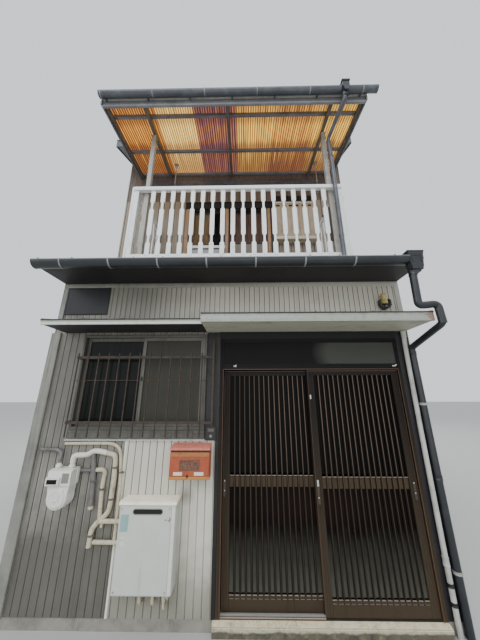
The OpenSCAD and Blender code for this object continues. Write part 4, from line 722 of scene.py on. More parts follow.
# %% A siding panel
FRONT = -65


def groove_line(start, end, pitch, depth):
    """Places across the wall and how deep the sheet lies there. At every whole pitch a groove takes
    0.12 of it, and a ridge that stands 1.5 mm proud the next 0.12; the rest is flat."""
    count = np.arange(math.ceil((start + 3) / pitch), math.floor((end - 3) / pitch - 0.27) + 1)
    marks = np.array([0, 0.03, 0.11, 0.14, 0.15, 0.17, 0.24, 0.26]) * pitch
    dips = np.array([0, depth, depth, 0, 0, -1.5, -1.5, 0])
    across = (count[:, None] * pitch + marks).ravel()
    return np.concatenate([[start], across, [end]]), np.concatenate([[0], np.tile(dips, len(count)), [0]])


def panel(start, end, low, high, at=FRONT, facing=-1, pitch=65, depth=3.5, thick=6):
    """A siding panel from start to end across the wall and from low to high. at is the wall's face,
    and facing is the sign of the outward direction."""
    u, dip = groove_line(start, end, pitch, depth)
    out = np.concatenate([at + facing * (thick - dip), np.full(len(u), at + facing * 0.3)])
    return carried(np.stack([np.concatenate([u, u[::-1]]), out], -1), low, high, "z")


WIN_L, WIN_R, WIN_Z0, WIN_Z1 = -1490, -220, 1425, 2325
DOOR_L, DOOR_R, FRAME_TOP, SOFFIT = -83, 1688, 2279, 2348
JOINT, APRON = -932, 1335
piece("siding_below_window", [panel(JOINT + 9, -118, 80, APRON)], "cream siding")
piece("siding_behind_meter", [panel(-1740, JOINT - 9, 80, APRON)], "dark siding")
piece("siding_beside_window", [panel(-1740, WIN_L - 12, APRON, SOFFIT)], "dark siding")
joint = [(JOINT - 10, FRONT), (JOINT - 10, FRONT - 7), (JOINT - 3, FRONT - 11), (JOINT + 7, FRONT - 11),
    (JOINT + 11, FRONT - 5), (JOINT + 11, FRONT)]
piece("siding_joint_strip", [carried(joint, 80, APRON, "z")], "joint strip", bevel=0.8)
print("points across the panel below the window:", len(groove_line(JOINT + 9, -118, 65, 3.5)[0]))

# %% The band over the canopies, the upper walls and the back
piece("siding_over_window", [panel(-1300, -229, 2508, 2860, pitch=53)], "upper band")
piece("siding_over_door", [panel(-229, 1770, 2540, 2860, pitch=53)], "upper band")
hem = [(FRONT, 0), (FRONT - 9, 0), (FRONT - 11, 5), (FRONT - 9, 12), (FRONT, 12)]
piece("siding_hems", [carried(np.array(hem) + [0, z], a, b)
    for a, b, z in ((-1300, -231, 2496), (-227, 1770, 2529))], "white band")
by_window = boxes((WIN_R + 2, FRONT - 9, APRON), (DOOR_L - 2, FRONT - 0.3, SOFFIT))
by_door = boxes((-118, FRONT - 12, 80), (DOOR_L - 1.5, FRONT - 0.3, APRON))
for name, strip in (("strip_by_window", by_window), ("corner_strip_by_door", by_door)):
    piece(name, [strip], "bare strip", bevel=1.5)

UP, BACK = 845, 5525
PLATE_Z = 5738
around_window = [(-1820, -797, 3262, PLATE_Z), (657, 1820, 3262, 4028), (1282, 1820, 4028, 4722),
    (-797, 657, 4739, PLATE_Z), (657, 1820, 4722, PLATE_Z)]
around_back = [(-1820, -652, 80, PLATE_Z), (652, 1820, 80, PLATE_Z), (-652, 652, 80, 1012), (-652, 652, 1948, 4112),
    (-652, 652, 5048, PLATE_Z)]
for name, places, at, facing, finish in (("upper_front_siding", around_window, UP, -1, "upper siding"),
        ("back_siding", around_back, BACK, 1, "back siding")):
    piece(name, [panel(*place, at, facing, pitch=90, depth=4) for place in places], finish)


def under_roof(y):
    """Height of the main roof's underside: it rises 0.45 for each 1 from both eaves to the ridge."""
    return 5740 + 0.45 * (2340 - np.abs(y - 3185))


print("siding:", [item.name for item in made])


# %% Corrugated sheet on the party walls
def corrugated_wall(x, facing, start, low, high, end=5520, pitch=76, depth=9):
    """Sheet iron in waves, out = depth / 2 * (1 + cos(2 pi y / pitch)), six points to a wave. Without
    a high edge it reaches the roof."""
    count = int((end - start) / pitch * 6)
    y = np.linspace(start, end, count)
    out = x + facing * (1.5 + depth / 2 * (1 + np.cos(2 * np.pi * (y - start) / pitch)))
    rings = []
    for level in (low, under_roof(y) - 6 if high is None else high):
        level = np.broadcast_to(level, y.shape)
        rings.append(np.stack([np.append(out, np.full(count, x + facing * 0.3)), np.append(y, y[::-1]),
            np.append(level, level[::-1])], -1))
    return grid(np.stack(rings))


# how far each course of sheets lies over the one below, where it starts, its low and its high edge
courses = ((0, -60, 82, 1560), (1.2, -60, 1530, 2885), (0, 900, 3170, 4420), (1.2, 900, 4390, None),
    (1.2, 900, 2855, 3200))
for side, facing in (("left", -1), ("right", 1)):
    tiers = [corrugated_wall(facing * (1820 + lap), facing, *course) for lap, *course in courses]
    piece(f"party_sheet_{side}", tiers, "party wall sheet")
print("party walls:", made[-1].dimensions[:])


# %% [markdown]
# ## Pantiles
# A Japanese pantile is a shallow S: a wide trough and a round roll that laps its neighbour. Rows
# start at the eave and each laps the one below it. One row is the S repeated along the roof, with a
# thick front edge, so it is a closed strip that lies on the CAD model's stepped tiles, and thirteen
# of them make a slope.

# %% The tiled roof
ROOF_L, ROOF_R, RIDGE_Y, RIDGE_TOP, EAVE_RUN = -1870, 1870, 3185, 6891.7, 2790
TILE_W = (ROOF_R - ROOF_L) / 14
ACROSS = np.array([0, 0.12, 0.25, 0.38, 0.5, 0.6, 0.65, 0.655, 0.67, 0.7, 0.745, 0.79, 0.825, 0.86, 0.905, 0.95,
    0.98, 0.995])


def pantile(t):
    """Height across one tile, t from 0 to 1: a trough 8 deep over 0.65 of it, then a roll 48 high,
    48 (1 - |2 (t - 0.825) / 0.35| ** 2.5) ** 0.4, which covers the CAD model's roll."""
    trough = 4 * (1 - np.cos(2 * np.pi * np.clip(t / 0.65, 0, 1)))
    side = np.clip(np.abs(2 * (t - 0.825) / 0.35), 0, 1)
    return np.where(t < 0.65, -trough, 48 * (1 - side ** 2.5) ** 0.4)


def roof_top(y):
    return RIDGE_TOP - 0.45 * abs(y - RIDGE_Y)


def tile_row(y_low, y_high):
    """One row: the S across, between a low edge that rests 14 mm higher and a high edge."""
    t = np.append(np.tile(ACROSS, 14), 0)
    x = ROOF_L + np.append((np.arange(14)[:, None] + ACROSS).ravel(), 14) * TILE_W
    ring = [np.stack([x, np.full(len(x), y), roof_top(y) + lift + pantile(t)], -1)
        for y, lift in ((y_low, 22), (y_low, 38), (y_high, 24), (y_high, 8))]
    return grid(np.stack(ring, 1))


rows, discs = [], []
for side in (-1, 1):
    edges = RIDGE_Y + side * np.linspace(EAVE_RUN + 8, 120, 14)
    rows += [tile_row(edges[k], edges[k + 1] - side * 12) for k in range(13)]
    discs += [turned([(0, -9), (33, -9), (37, -3), (37, 9), (29, 13), (0, 13)],
        (ROOF_L + (k + 0.825) * TILE_W, edges[0], roof_top(edges[0]) + 48), "y", 20) for k in range(14)]
piece("pantiles", rows, "roof tile")
piece("eave_tile_ends", discs, "ridge tile")

courses = []
for half, z0, z1 in ((128, -30, 38), (112, 42, 62), (98, 66, 84)):
    box_line = oblong(RIDGE_Y - half, RIDGE_TOP + z0, RIDGE_Y + half, RIDGE_TOP + z1)
    courses += [carried(box_line, x, min(x + 337, ROOF_R)) for x in np.arange(ROOF_L, ROOF_R - 1, 340)]
caps = [turned([(0, 0), (62, 0), (62, 250), (56, 256), (50, 256), (50, 270), (0, 270)],
    (x, RIDGE_Y, RIDGE_TOP + 78), "x", 24) for x in ROOF_L + 267 * np.arange(14)]
ends = [turned([(0, -14), (70, -14), (78, -6), (78, 10), (0, 10)], (x, RIDGE_Y, RIDGE_TOP + 56), "x", 28)
    for x in (ROOF_L + 4, ROOF_R - 2)]
piece("ridge_courses", courses, "ridge tile", replaces=("roof_ridge",), bevel=3)
piece("ridge_caps", caps + ends, "ridge tile")
verges = []
for x0, x1 in ((ROOF_L - 1, ROOF_L + 13), (ROOF_R - 13, ROOF_R + 1)):
    for far in (RIDGE_Y - 2785, RIDGE_Y + 2785):
        line = [(far, roof_top(far) - 112), (RIDGE_Y, RIDGE_TOP - 112), (RIDGE_Y, RIDGE_TOP + 34),
            (far, roof_top(far) + 34)]
        verges.append(carried(line, x0, x1))
piece("barge_boards", verges, "rafter tail", bevel=2)

# %% [markdown]
# ## Corrugated plastic over the balcony
# Six sheets of corrugated plastic lie on the purlins, each lapping the next by one wave. Light
# falls through them, so each glows in its own faded colour, and dirt has gathered in the troughs and
# behind every purlin. The light that comes through is given as a weak emission of the same colour, so
# the waves' own shading is painted: shade on one flank of each and a highlight on the other, and a
# painted shade with the dirt over the bay under the main eave.

# %% Plastic sheets
SLOPE, ROOF_X = math.atan(0.085), (-1603, 1675)


def on_slope(points):
    """From the balcony roof's own frame (x, up the slope, out of it) to the house:
    y = -380 + s cos a - n sin a, z = 5231.9 + s sin a + n cos a."""
    s, n = points[..., 1], points[..., 2]
    y = -380 + s * math.cos(SLOPE) - n * math.sin(SLOPE)
    z = 5231.9 + s * math.sin(SLOPE) + n * math.cos(SLOPE)
    return np.stack([points[..., 0], y, z], -1)


def plastic_sheet(index):
    """Waves across the sheet, n = 4.5 (1 - cos(2 pi x / 32)), eight points to a wave, carried up the
    slope. Every second sheet lies 1.8 mm higher, where it laps its neighbours."""
    x = np.arange(0, 544 + (32 if index < 5 else 0) + 0.1, 4)
    s = np.linspace(-40, 1218, 19)
    top = np.stack(np.broadcast_arrays(ROOF_X[0] + 7 + index * 544 + x, s[:, None], 87.1 + index % 2 * 1.8
        + 4.5 * (1 - np.cos(2 * np.pi * x / 32))), -1)
    points, groups = grid(np.concatenate([top, top[:, ::-1] - [0, 0, 1.5]], 1))
    return on_slope(points), groups


def faded_plastic(name, shades, glow, amount, rear_dirt_and_shade):
    """Old plastic: bleached clouds, a streak of its own down every wave, a painted shade on one flank of
    each and a painted highlight on the other, dirt in front of the purlins, and a darker bay against the
    wall, both dirt and painted shade under the main eave."""
    base, pale, dirt, deep = shades.split()
    f = Finish(name, base, Specular_IOR_Level=0.1)
    tree = f.tree
    f.layer(GRIME, pale, 0.7, Size=2.6, Amount=0.6, Soft=0.4)
    f.layer(ramp(tree, f.wave((31.25, 0.7, 0.7), detail=3, rough=0.6), 0.47, 0.6), dirt, amount)
    f.layer(ramp(tree, f.wave((62.5, 1.6, 1.6), detail=3, rough=0.6), 0.5, 0.62), deep, amount)
    streaks = times(tree, f.wave((31.25, 0.9, 0.9), detail=2, rough=0.6), 0.9)
    # painted shade on one flank of each wave and painted highlight on the other: the emission hides the waves' own
    # shading
    ribs = maths(tree, "SINE", times(tree, along(tree, f.place, "X"), 2 * math.pi / 0.032))
    f.layer(ramp(tree, ribs, 0, 0.5), deep, 0.85)
    f.layer(ramp(tree, ribs, -0.3, -0.9), pale, 0.4)
    # the first is the bay against the wall: dirt, and painted shade under the main eave; the rest are dirt in front
    # of the purlins
    for y, reach, power in ((0.84, 1.1, rear_dirt_and_shade), (0.335, 0.2, 0.6), (-0.13, 0.2, 0.5), (-0.36, 0.28, 0.6)):
        near = maths(tree, "ADD", f.mask(PATCH, Centre=(0, y, 5.3), Reach=(99, reach, 99), Soft=0.9), streaks)
        f.layer(ramp(tree, near, 0.85, 1.3), deep, power * 0.85)
    tree.links.new(f.base, f.shader.inputs["Emission Color"])
    f.shader.inputs["Emission Strength"].default_value = glow
    return keep(f)


sheet_colours = [("e59a3a f8c868 b45a20 562a24", 1.12, 0.5, 0.8), ("f6d274 ffe48c cd8f3a 74452c", 1.46, 0.35, 0.75),
    ("b07048 d89c5c 6c3238 42263c", 1.05, 0.9, 0.5), ("f4bf50 ffd86c b06a20 562c2a", 1.36, 0.5, 0.85),
    ("eaa842 fbcc64 9c5224 4e282c", 1.24, 0.7, 0.95), ("f4be48 ffd868 a46226 4e2a2c", 1.42, 0.55, 0.95)]
for k, shades in enumerate(sheet_colours):
    faded_plastic(f"plastic sheet {k + 1}", *shades)
    piece(f"plastic_sheet_{k + 1}", [plastic_sheet(k)], f"plastic sheet {k + 1}",
        replaces=("balcony_roof_sheets",) if k == 0 else ())
screws = []
for s in (20, 210, 750, 1170):
    for x in np.arange(ROOF_X[0] + 40, ROOF_X[1], 192):
        points, groups = turned([(0, 0), (9, 0), (9, 2), (5, 6), (0, 7)], (0, 0, 0), "z", 10)
        screws.append((on_slope(points + [x - (x - ROOF_X[0] - 7) % 32 + 16, s, 95.5]), groups))
piece("roof_screws", screws, "strap metal")

# %% [markdown]
# ## The sliding lattice leaves
# Each leaf is bronze aluminium: two grooved stiles, three rails, and a lattice of fifteen slim
# slats with obscured glass behind them. A slat is a foot that clips into the rails and a fin with a
# raised nose. Both leaves have one recipe, placed on their own tracks.

# %% One leaf
LEAF_FOOT, LEAF_HEAD, LEAF_W, STILE = 88, 1965, 877.5, 62
LOW_RAIL, MID_RAIL, TOP_RAIL, SLATS = 168, (946, 1036), 1915, 15


def finned(x, y_front, depth):
    """Profile of a slat (x, y): a foot 18 wide that clips into the rails, and a fin 9 wide that
    stands forward of it and narrows to 7."""
    half = np.array([(9, depth), (9, depth - 2.5), (4.5, depth - 4), (3.5, 1)])
    return np.vstack([half * [-1, 1], half[::-1]]) + [x, y_front]


def stile(x0, x1, y0, y1):
    """Profile of a stile (x, y): a face with two shallow grooves along it and rounded corners."""
    across = x0 + (x1 - x0) * np.array([0.3, 0.33, 0.38, 0.41, 0.59, 0.62, 0.67, 0.7])
    grooves = np.stack([across, y0 + np.array([0, 2, 2, 0, 0, 2, 2, 0])], -1)
    return np.vstack([[(x0, y1), (x0, y0 + 3), (x0 + 3, y0)], grooves, [(x1 - 3, y0), (x1, y0 + 3), (x1, y1)]])


def leaf(body, x, y, node):
    """The frame with thin painted highlights along its edges, slats from rail to rail, and the middle rail behind
    them.
    x is the leaf's left edge and y the middle of its track."""
    y0, y1, left, right = y - 15, y + 15, x + STILE, x + LEAF_W - STILE
    gap = (right - left - SLATS * 9) / (SLATS + 1)
    fins = left + gap + 4.5 + np.arange(SLATS) * (9 + gap)
    foot, (mid_low, mid_high) = LEAF_FOOT, MID_RAIL
    channel = [(y0, foot), (y0 + 6, foot), (y0 + 6, 112), (y1 - 6, 112), (y1 - 6, foot), (y1, foot), (y1, LOW_RAIL),
        (y0, LOW_RAIL)]
    middle = [(y0 + 13, mid_low), (y1, mid_low), (y1, mid_high), (y0 + 13, mid_high), (y0 + 13, mid_high - 7),
        (y0 + 15, mid_high - 9), (y0 + 15, mid_low + 9), (y0 + 13, mid_low + 7)]
    nose = np.array([(-3.5, 1), (-3.5, 0), (-2, -0.8), (2, -0.8), (3.5, 0), (3.5, 1)])
    wheel = [(0, -6), (6, -6), (8, -4), (6, -1), (6, 1), (8, 4), (6, 6), (0, 6)]
    kick_bar = boxes((left, y0 - 1, 176), (right, y0 + 12, 189))
    # pale beads on the rails: partly the bead, partly a painted highlight on the rails' lit top edges
    beads = [boxes((a - gap - 3, y0 + 5, z), (a - 6, y0 + 14, z + h)) for a in np.append(fins, right + 4.5)
        for z, h in ((mid_high, 3), (LOW_RAIL, 3), (190, 3.5))]
    for part, shapes, finish, slot, replaced, bevel in (
            ("frame", [carried(stile(a, a + STILE, y0, y1), foot, LEAF_HEAD, "z") for a in (x, right)]
             + [carried(p, left, right) for p in (channel, oblong(y0, TOP_RAIL, y1, LEAF_HEAD))],
             "bronze frame", "bronze_aluminium", (node,), 1.2),
            ("middle_rail", [carried(middle, left, right)], "brown rail", "bronze_aluminium", (), 1),
            ("slats", [carried(finned(a, y0, 12), LOW_RAIL, TOP_RAIL, "z") for a in fins],
             "bronze slat", "bronze_aluminium", (), 0),
            ("slat_noses", [carried(nose + [a, y0], LOW_RAIL, TOP_RAIL, "z") for a in fins],
             "slat nose highlight", "bronze_aluminium", (), 0),
            ("kick_bar", [kick_bar], "bronze frame", "bronze_aluminium", (), 0.8),
            # thin paler strips on the top and the stile edges: painted highlights
            ("highlight_edges", [boxes((x + 4, y0 - 1, 1955), (x + 873, y0, 1960))]
             + [boxes((a, y0 - 0.6, foot), (a + 2.5, y0 + 3, LEAF_HEAD)) for a in (x, right + 59.5)],
             "bronze edge", "bronze_aluminium", (), 0),
            ("glazing_beads", beads, "glazing bead", "silver_aluminium", (), 0),
            ("rollers", [turned(wheel, (a, y, 106), "y", 24) for a in (left + 40, right - 40)],
             "black plastic", "black_plastic", (), 0)):
        piece(f"{body}_{part}", shapes, finish, replaced, body, bevel)
    return y0


print(SLATS, "slats a leaf, from z", LOW_RAIL, "to", TOP_RAIL)


# %% Pull plates, and both leaves
def pull_plate(name, body, x, y0, low=870, high=1008):
    """A long plate with round ends, let into the stile, with a raised rim and a screw at each end."""
    w = 11
    def ring(r):
        return np.vstack([arc((x, high - w), r, 0, 180, 10), arc((x, low + w), r, 180, 360, 10)])
    points = [np.insert(ring(r), 1, y0 + d, axis=1) for r, d in ((w, 0), (w, -3), (w - 2.5, -3), (w - 4, -0.6))]
    piece(name, [grid(np.stack(points))], "dull plate", (), body)
    ends = [turned([(0, 0), (5, 0), (5, -3), (3, -4.4), (0, -4.4)], (x, y0, z), "y", 16)
        for z in (low + 50, high - 12)]
    piece(name + "_screws", ends, "bright metal", (), body)


BACK_TRACK, FRONT_TRACK, LEFT_X, RIGHT_X = -1, -43, -44, 771.5
y0 = leaf("left_leaf", LEFT_X, BACK_TRACK, "door_left")
pull_plate("left_leaf_pull", "left_leaf", LEFT_X + 16, y0)
y0 = leaf("right_leaf", RIGHT_X, FRONT_TRACK, "door_right")
pull_plate("right_leaf_pull", "right_leaf", RIGHT_X + 852, y0)
pull_plate("right_leaf_lock", "right_leaf", RIGHT_X + 20, y0, 832, 1022)
catches = [boxes((RIGHT_X + 12, y0 - 4.5, 968), (RIGHT_X + 28, y0 - 2.5, 1016)),
    boxes((RIGHT_X + 10, y0 - 2.5, 1693), (RIGHT_X + 22, y0, 1732))]
piece("right_leaf_catches", catches, "bright metal", (), "right_leaf", bevel=1)
print("leaf pieces:", [item.name for item in made if "leaf" in item.name])

# %% [markdown]
# ## The entrance frame
# The frame is one wide bronze section with a cross bar under the fixed light. Two steel rails carry
# the leaves, and a bright track shows where the back leaf stands further in.

# %% Frame, tracks and hooks
FY, FB = -77, 33
jamb = np.array([(0, 2), (2, 0), (12, 0), (14, 3), (20, 3), (22, 0), (32, 0), (34, 2), (34, 110), (0, 110)], float)
sides = [carried(jamb + [DOOR_L, FY], 80, FRAME_TOP, "z"),
    carried(jamb * [-1, 1] + [DOOR_R, FY], 80, FRAME_TOP, "z")]
head = oblong(FY + 1, FRAME_TOP - 34, FB, FRAME_TOP)
bar = [(FY + 1, 1970), (FB, 1970), (FB, 2020), (FY + 1, 2020), (FY + 1, 2008), (FY + 5, 2004), (FY + 5, 1988),
    (FY + 1, 1984)]
sill = [(FY + 4, 76), (FB, 76), (FB, 85), (FY + 12, 85), (FY + 4, 83)]
across = [carried(p, DOOR_L + 34, DOOR_R - 34) for p in (head, bar)]
# thin paler strips on the jamb edges and along the cross bar: painted highlights
highlight_edging = [boxes((x, FY - 1, 80), (x + 4, FY + 2, 1970)) for x in (DOOR_L + 30, DOOR_R - 34)]
highlight_edging.append(boxes((DOOR_L + 30, FY - 1, 1970), (DOOR_R - 30, FY + 1.5, 1976)))
piece("entrance_highlight_edges", highlight_edging, "bronze edge")
piece("entrance_surround", sides + across, "bronze frame", ("entrance_frame",), bevel=1)
piece("entrance_sill", [carried(sill, DOOR_L + 34, DOOR_R - 34)], "silver frame", bevel=1)
rails = [carried([(y - 2.5, 84), (y + 2.5, 84), (y + 1.6, 98), (y - 1.6, 98)], DOOR_L + 34, DOOR_R - 34)
    for y in (FRONT_TRACK, BACK_TRACK)]
piece("sliding_rails", rails, "bright metal")
lips = [carried([(y, 83), (y + 3, 83), (y + 3, 91), (y, 90)], DOOR_L + 36, 770) for y in (-65, -24)]
piece("bright_track", lips, "bright metal")
piece("track_bed", [carried([(-74, 80), (-20, 80), (-20, 85.5), (-68, 85.5), (-74, 83)], DOOR_L + 36, 770)],
    "bronze edge")
hooks = []
for x in (62, 1622):
    hooks += [boxes((x - 15, FY - 3, 1996), (x + 15, FY + 1.5, 2010)),
        tube(bent([(x - 10, FY - 2, 2000), (x - 6, FY - 20, 2002), (x + 16, FY - 22, 2014)], 6), 4.5, 10),
        rod(4, 0, -3, (x + 9, FY - 3, 2003), "y", 12)]
piece("blind_hooks", hooks, "bare white plate", bevel=1)
beads = [boxes((DOOR_L + 34, FY + 6, z0), (DOOR_R - 34, FY + 14, z1)) for z0, z1 in ((2020, 2026), (2238, 2245))]
piece("transom_beads", beads, "bronze frame", bevel=0.8)
piece("wall_over_entrance", [boxes((DOOR_L - 2, FRONT - 10, FRAME_TOP), (DOOR_R + 2, FRONT - 0.3, SOFFIT + 8))],
    "deep shadow", bevel=1.5)
coat = [(-119, 58), (-112, 70), (-84, 80), (-66, 83), (-66, 62), (-112, 62)]
piece("step_mortar", [carried(coat, -104, 1689)], "mortar top", bevel=1.5)
print("entrance:", span("entrance_frame")[0])

# %% [markdown]
# ## Canopies
# Two sheet-metal canopies shade the front. Seen from the street they are all underside and edge: a
# ribbed soffit, a white band, a recessed grey strip, and a dark rolled lip on top, with rust creeping
# in from the cut ends. Each layer is its own profile carried along the wall, so each keeps its paint.

# %% Canopy layers
CANOPY_END, SOFFIT_LIFT, LIP_H = 1810, 6, 10


def ribbed_soffit(y0, y1, z, pitch=58):
    """Underside boards: flat strips with a V groove of 4 mm between them, along x."""
    count = int((y1 - y0) / pitch)
    step = (y1 - y0) / count
    y = y0 + (np.arange(count)[:, None] * step + np.array([0, 3, step - 3])).ravel()
    low = np.tile([4, 0, 0], count)
    under = np.stack([np.append(y, y1), z + np.append(low, 4)], -1)
    return np.vstack([under, [(y1, z + 7), (y0, z + 7)]])


def rusting(name, shades, reach, rough, **options):
    """A painted edge whose rust spreads from the door canopy's cut right end."""
    f = paint(name, shades, rough, grit=0.1, **options)
    away = maths(f.tree, "ABSOLUTE", maths(f.tree, "SUBTRACT", along(f.tree, f.place, "X"), CANOPY_END * 0.001))
    ragged = maths(f.tree, "ADD", away, times(f.tree, f.wave((14, 30, 60), detail=5), reach * 1.6))
    return f.layer(ramp(f.tree, ragged, reach * 1.5, reach), "7a4120", 0.6, 0.95)


rusting("door canopy band", "9b9e95 b1b3aa 767060", 0.09, (0.35, 0.6), across=40, down=12, streaks=0.35, size=8,
    patches=0.35, specks=0.55, speck="7a4a26")
rusting("door canopy strip", "989d94 aeb3a9 6a6a5f", 0.1, (0.4, 0.65), across=30, down=12, streaks=0.4, size=8,
    patches=0.4, specks=0.4)
rusting("door canopy lip", "3a4042 525859 2a2019", 0.5, (0.45, 0.7), size=8, specks=0.5)


def canopy(name, x0, x1, out, fascia, band, paints):
    """The layers of one canopy, which reaches out from the wall. The paints are those of the soffit,
    the band, the strip with the ends, and the lip."""
    z, y = SOFFIT, FRONT - out
    top = z + fascia
    drip = [(y, z), (y + 16, z), (y + 16, z + 12), (y + 3, z + 12), (y + 3, z + band), (y, z + band),
        (y - 1.2, z + band - 3), (y - 1.2, z + 4)]
    strip = [(y + 2.5, z + band - 1), (y + 8, z + band - 1), (y + 8, top - 2), (y + 2.5, top - LIP_H + 1)]
    roll = np.vstack([arc((y - 3, top - 5), 5, 270, 90, 8), [(y + 9, top), (y + 9, top - LIP_H)]])
    slope = [(y - 4, top - 1.5), (FRONT - 3, top + 88.5), (FRONT - 3, top + 102), (FRONT, top + 102),
        (FRONT, top + 86), (y - 2, top - 4)]
    cap = [(y + 1, z + 10), (FRONT, z + 10), (FRONT, top + 86), (y + 1, top - 4)]
    piece(name + "_soffit", [carried(ribbed_soffit(y + 16, FRONT - 0.5, z + SOFFIT_LIFT), x0 + 2, x1 - 2)],
        paints[0], (name,))
    piece(name + "_band", [carried(drip, x0, x1)], paints[1], bevel=0.6)
    piece(name + "_strip", [carried(strip, x0 + 1, x1 - 1)], paints[2])
    piece(name + "_lip", [carried(roll, x0 - 1, x1 + 1)], paints[3])
    seams = [carried(slope[:2] + [(FRONT - 3, top + 96), (y - 4, top + 6)], a - 4, a + 4)
        for a in np.linspace(x0 + 6, x1 - 6, 5)]
    piece(name + "_top", [carried(slope, x0, x1)] + seams, "canopy top", bevel=0.8)
    piece(name + "_ends", [carried(cap, a, a + 3) for a in (x0, x1 - 3)], paints[2])


canopy("door_canopy", -229, CANOPY_END, 410, 86, 50,
    ("canopy soffit", "door canopy band", "door canopy strip", "door canopy lip"))
canopy("window_canopy", -1705, -229.6, 350, 52, 20, ("dark soffit", "white band", "canopy enamel", "dark lip"))
print("canopy pieces:", len([item for item in made if "canopy" in item.name]))

# %% [markdown]
# ## Gutters and pipes
# Plastic gutters are half-round troughs with a rolled bead along the front edge, held by strap
# brackets every half bay. The trough is a ring of two arcs; the bracket wraps round it and runs back to
# the fascia. Collars cover the joints in the pipes.

# %% Gutter troughs, beads and straps
def trough(x0, x1, y, z, r):
    ring = np.vstack([arc((y, z), r, 180, 360, 20), arc((y, z), r - 3, 360, 180, 20)])
    cap = arc((y, z), r + 1.5, 180, 360, 20)
    return [carried(ring, x0, x1)] + [carried(cap, a, a + 5) for a in (x0 - 1, x1 - 4)]


def strap(x, y, z, r, back):
    """A bracket: a flat strip round the trough, 2.5 mm thick, and a tail back to the fascia."""
    ring = np.vstack([arc((y, z), r + 3.2, 175, 365, 20), arc((y, z), r + 0.6, 365, 175, 20)])
    tail = oblong(y - r - 3, z + 1, back, z + 4)
    plate = oblong(back - 3, z - 34, back, z + 10)
    return [carried(ring, x, x + 14), carried(tail, x, x + 14), carried(plate, x - 1, x + 15)]


def gutter(name, x0, x1, y, z, r, back, straps, finish):
    piece(name + "_trough", trough(x0, x1, y, z, r), finish, (name,))
    bead = arc((y - r + 5, z + 1), 6.5, 0, 330, 12)
    # the bead's paler finish is a painted highlight
    piece(name + "_bead", [carried(bead, x0, x1)], "gutter bead highlight")
    piece(name + "_straps", [p for x in straps for p in strap(x, y, z, r, back)], "gutter strap")


gutter("eave_gutter", -1820, 1662, -493, 2940, 62, -423.3, -1560 + 455 * np.arange(7), "gutter plastic")
gutter("balcony_gutter", -1613, 1790, -462, 5290, 45, -390, -1594 + 640 * np.arange(6), "high gutter")
backing = [boxes((-1600, -417, 5276), (1672, -392.3, 5282))]
piece("balcony_gutter_backing", backing, "worn post")
props = [boxes((x, -424, 5262), (x + 22, -392.3, 5275.7)) for x in -1560 + 525 * np.arange(7)]
piece("balcony_gutter_props", props, "high gutter", bevel=1)
verge = [(-410, 5205), (-410, 5292), (852, 5399), (852, 5312)]
piece("balcony_verges", [carried(verge, x, x + 16) for x in (-1621, 1676)], "weathered purlin",
    bevel=1)
board = [(-392, 5174), (-374, 5174), (-374, 5290), (-388, 5290), (-392, 5282), (-392, 5206), (-400, 5202),
    (-400, 5178)]
piece("balcony_fascia", [carried(board, -1600, 1672)], "weathered purlin", bevel=1)
funnel = [(1348, 5338), (1348, 5268), (1364, 5218), (1366, 5190), (1414, 5190), (1416, 5218), (1432, 5268),
    (1432, 5338)]
piece("balcony_hopper", [carried(funnel, -530, -440, "y"), boxes((1340, -538, 5334), (1440, -432, 5356))],
    "gutter plastic", bevel=2)


measured("eave_gutter", "balcony_gutter")


# %% Hoppers and pipes
def square_rings(x, y, rows):
    """Rings (half width, half depth, height) with corners cut by 4 mm, stacked upwards."""
    w, d, z = np.array(rows, float).T[:, :, None]
    along, across = np.array([1, 1, -1, -1, -1, -1, 1, 1]), np.array([1, 1, 1, 1, -1, -1, -1, -1])
    cut = 4 * np.array([0, 1, 1, 0, 0, 1, 1, 0])
    return grid(np.stack(np.broadcast_arrays(x + along * (w - cut), y + across * (d - 4 + cut), z), -1))


def collar(at, axis, r, length=34):
    """A sleeve round a pipe of radius r, with a bead at each end."""
    h = length / 2
    profile = [(r - 2, -h), (r + 4, -h), (r + 4, -h + 5), (r + 2.4, -h + 7), (r + 2.4, h - 7), (r + 4, h - 5),
        (r + 4, h), (r - 2, h)]
    return turned(profile, at, axis, 28, "joined")


rings = [(30, 30, 2796), (30, 30, 2812), (48, 40, 2816), (50, 41, 2836), (54, 42, 2842), (66, 45, 2962),
    (70, 47, 2966), (70, 47, 2974), (67, 45, 2978), (76, 48, 2984), (76, 48, 3000)]
ribs = [boxes((x, -548, 2880), (x + 7, -540, 2952)) for x in (1680, 1760)]
ribs.append(boxes((1680, -549, 2945), (1767, -541, 2954)))
piece("eave_hopper", [square_rings(1724, -500, rings)] + ribs, "gutter plastic",
    ("eave_downpipe",), bevel=1)
high = bent([(1690, -498, 2800), (1679, -496, 2476), (1848, -494, 2494), (1856, -493, 2318)], 46)
low = bent([(1856, -493, 2345), (1854, -480, 2316), (1815, -97, 2178), (1815, -97, 4)], 34)
piece("eave_pipe_run", [tube(high, 32, 24), tube(low, 30, 24)], "gutter plastic")
collars = [collar((1690, -498, 2786), "z", 32, 40)] + [collar((1815, -97, z), "z", 30) for z in (2120, 1050)]
piece("eave_pipe_collars", collars, "gutter plastic")
clips = []
for z in (400, 1650):
    clips += [collar((1815, -97, z), "z", 30, 22), boxes((1812, -68, z - 8), (1818, -63, z + 8))]
piece("eave_pipe_clips", clips, "strap metal")
white = [(1762, -97, 2350), (1756, -97, 2200), (1748, -97, 1400), (1744, -97, 700), (1742, -97, 4)]
piece("white_pipe_run", [tube(white, 20, 20)], "white pipe", ("canopy_downpipe",))
piece("white_pipe_bands", [collar((1742, -97, z), "z", 20.5, 26) for z in (320, 205)], "black plastic")
piece("white_pipe_collars", [collar((x, -97, z), "z", 20.2, 60) for x, z in ((1761, 2316), (1742, 470))],
    "white pipe")
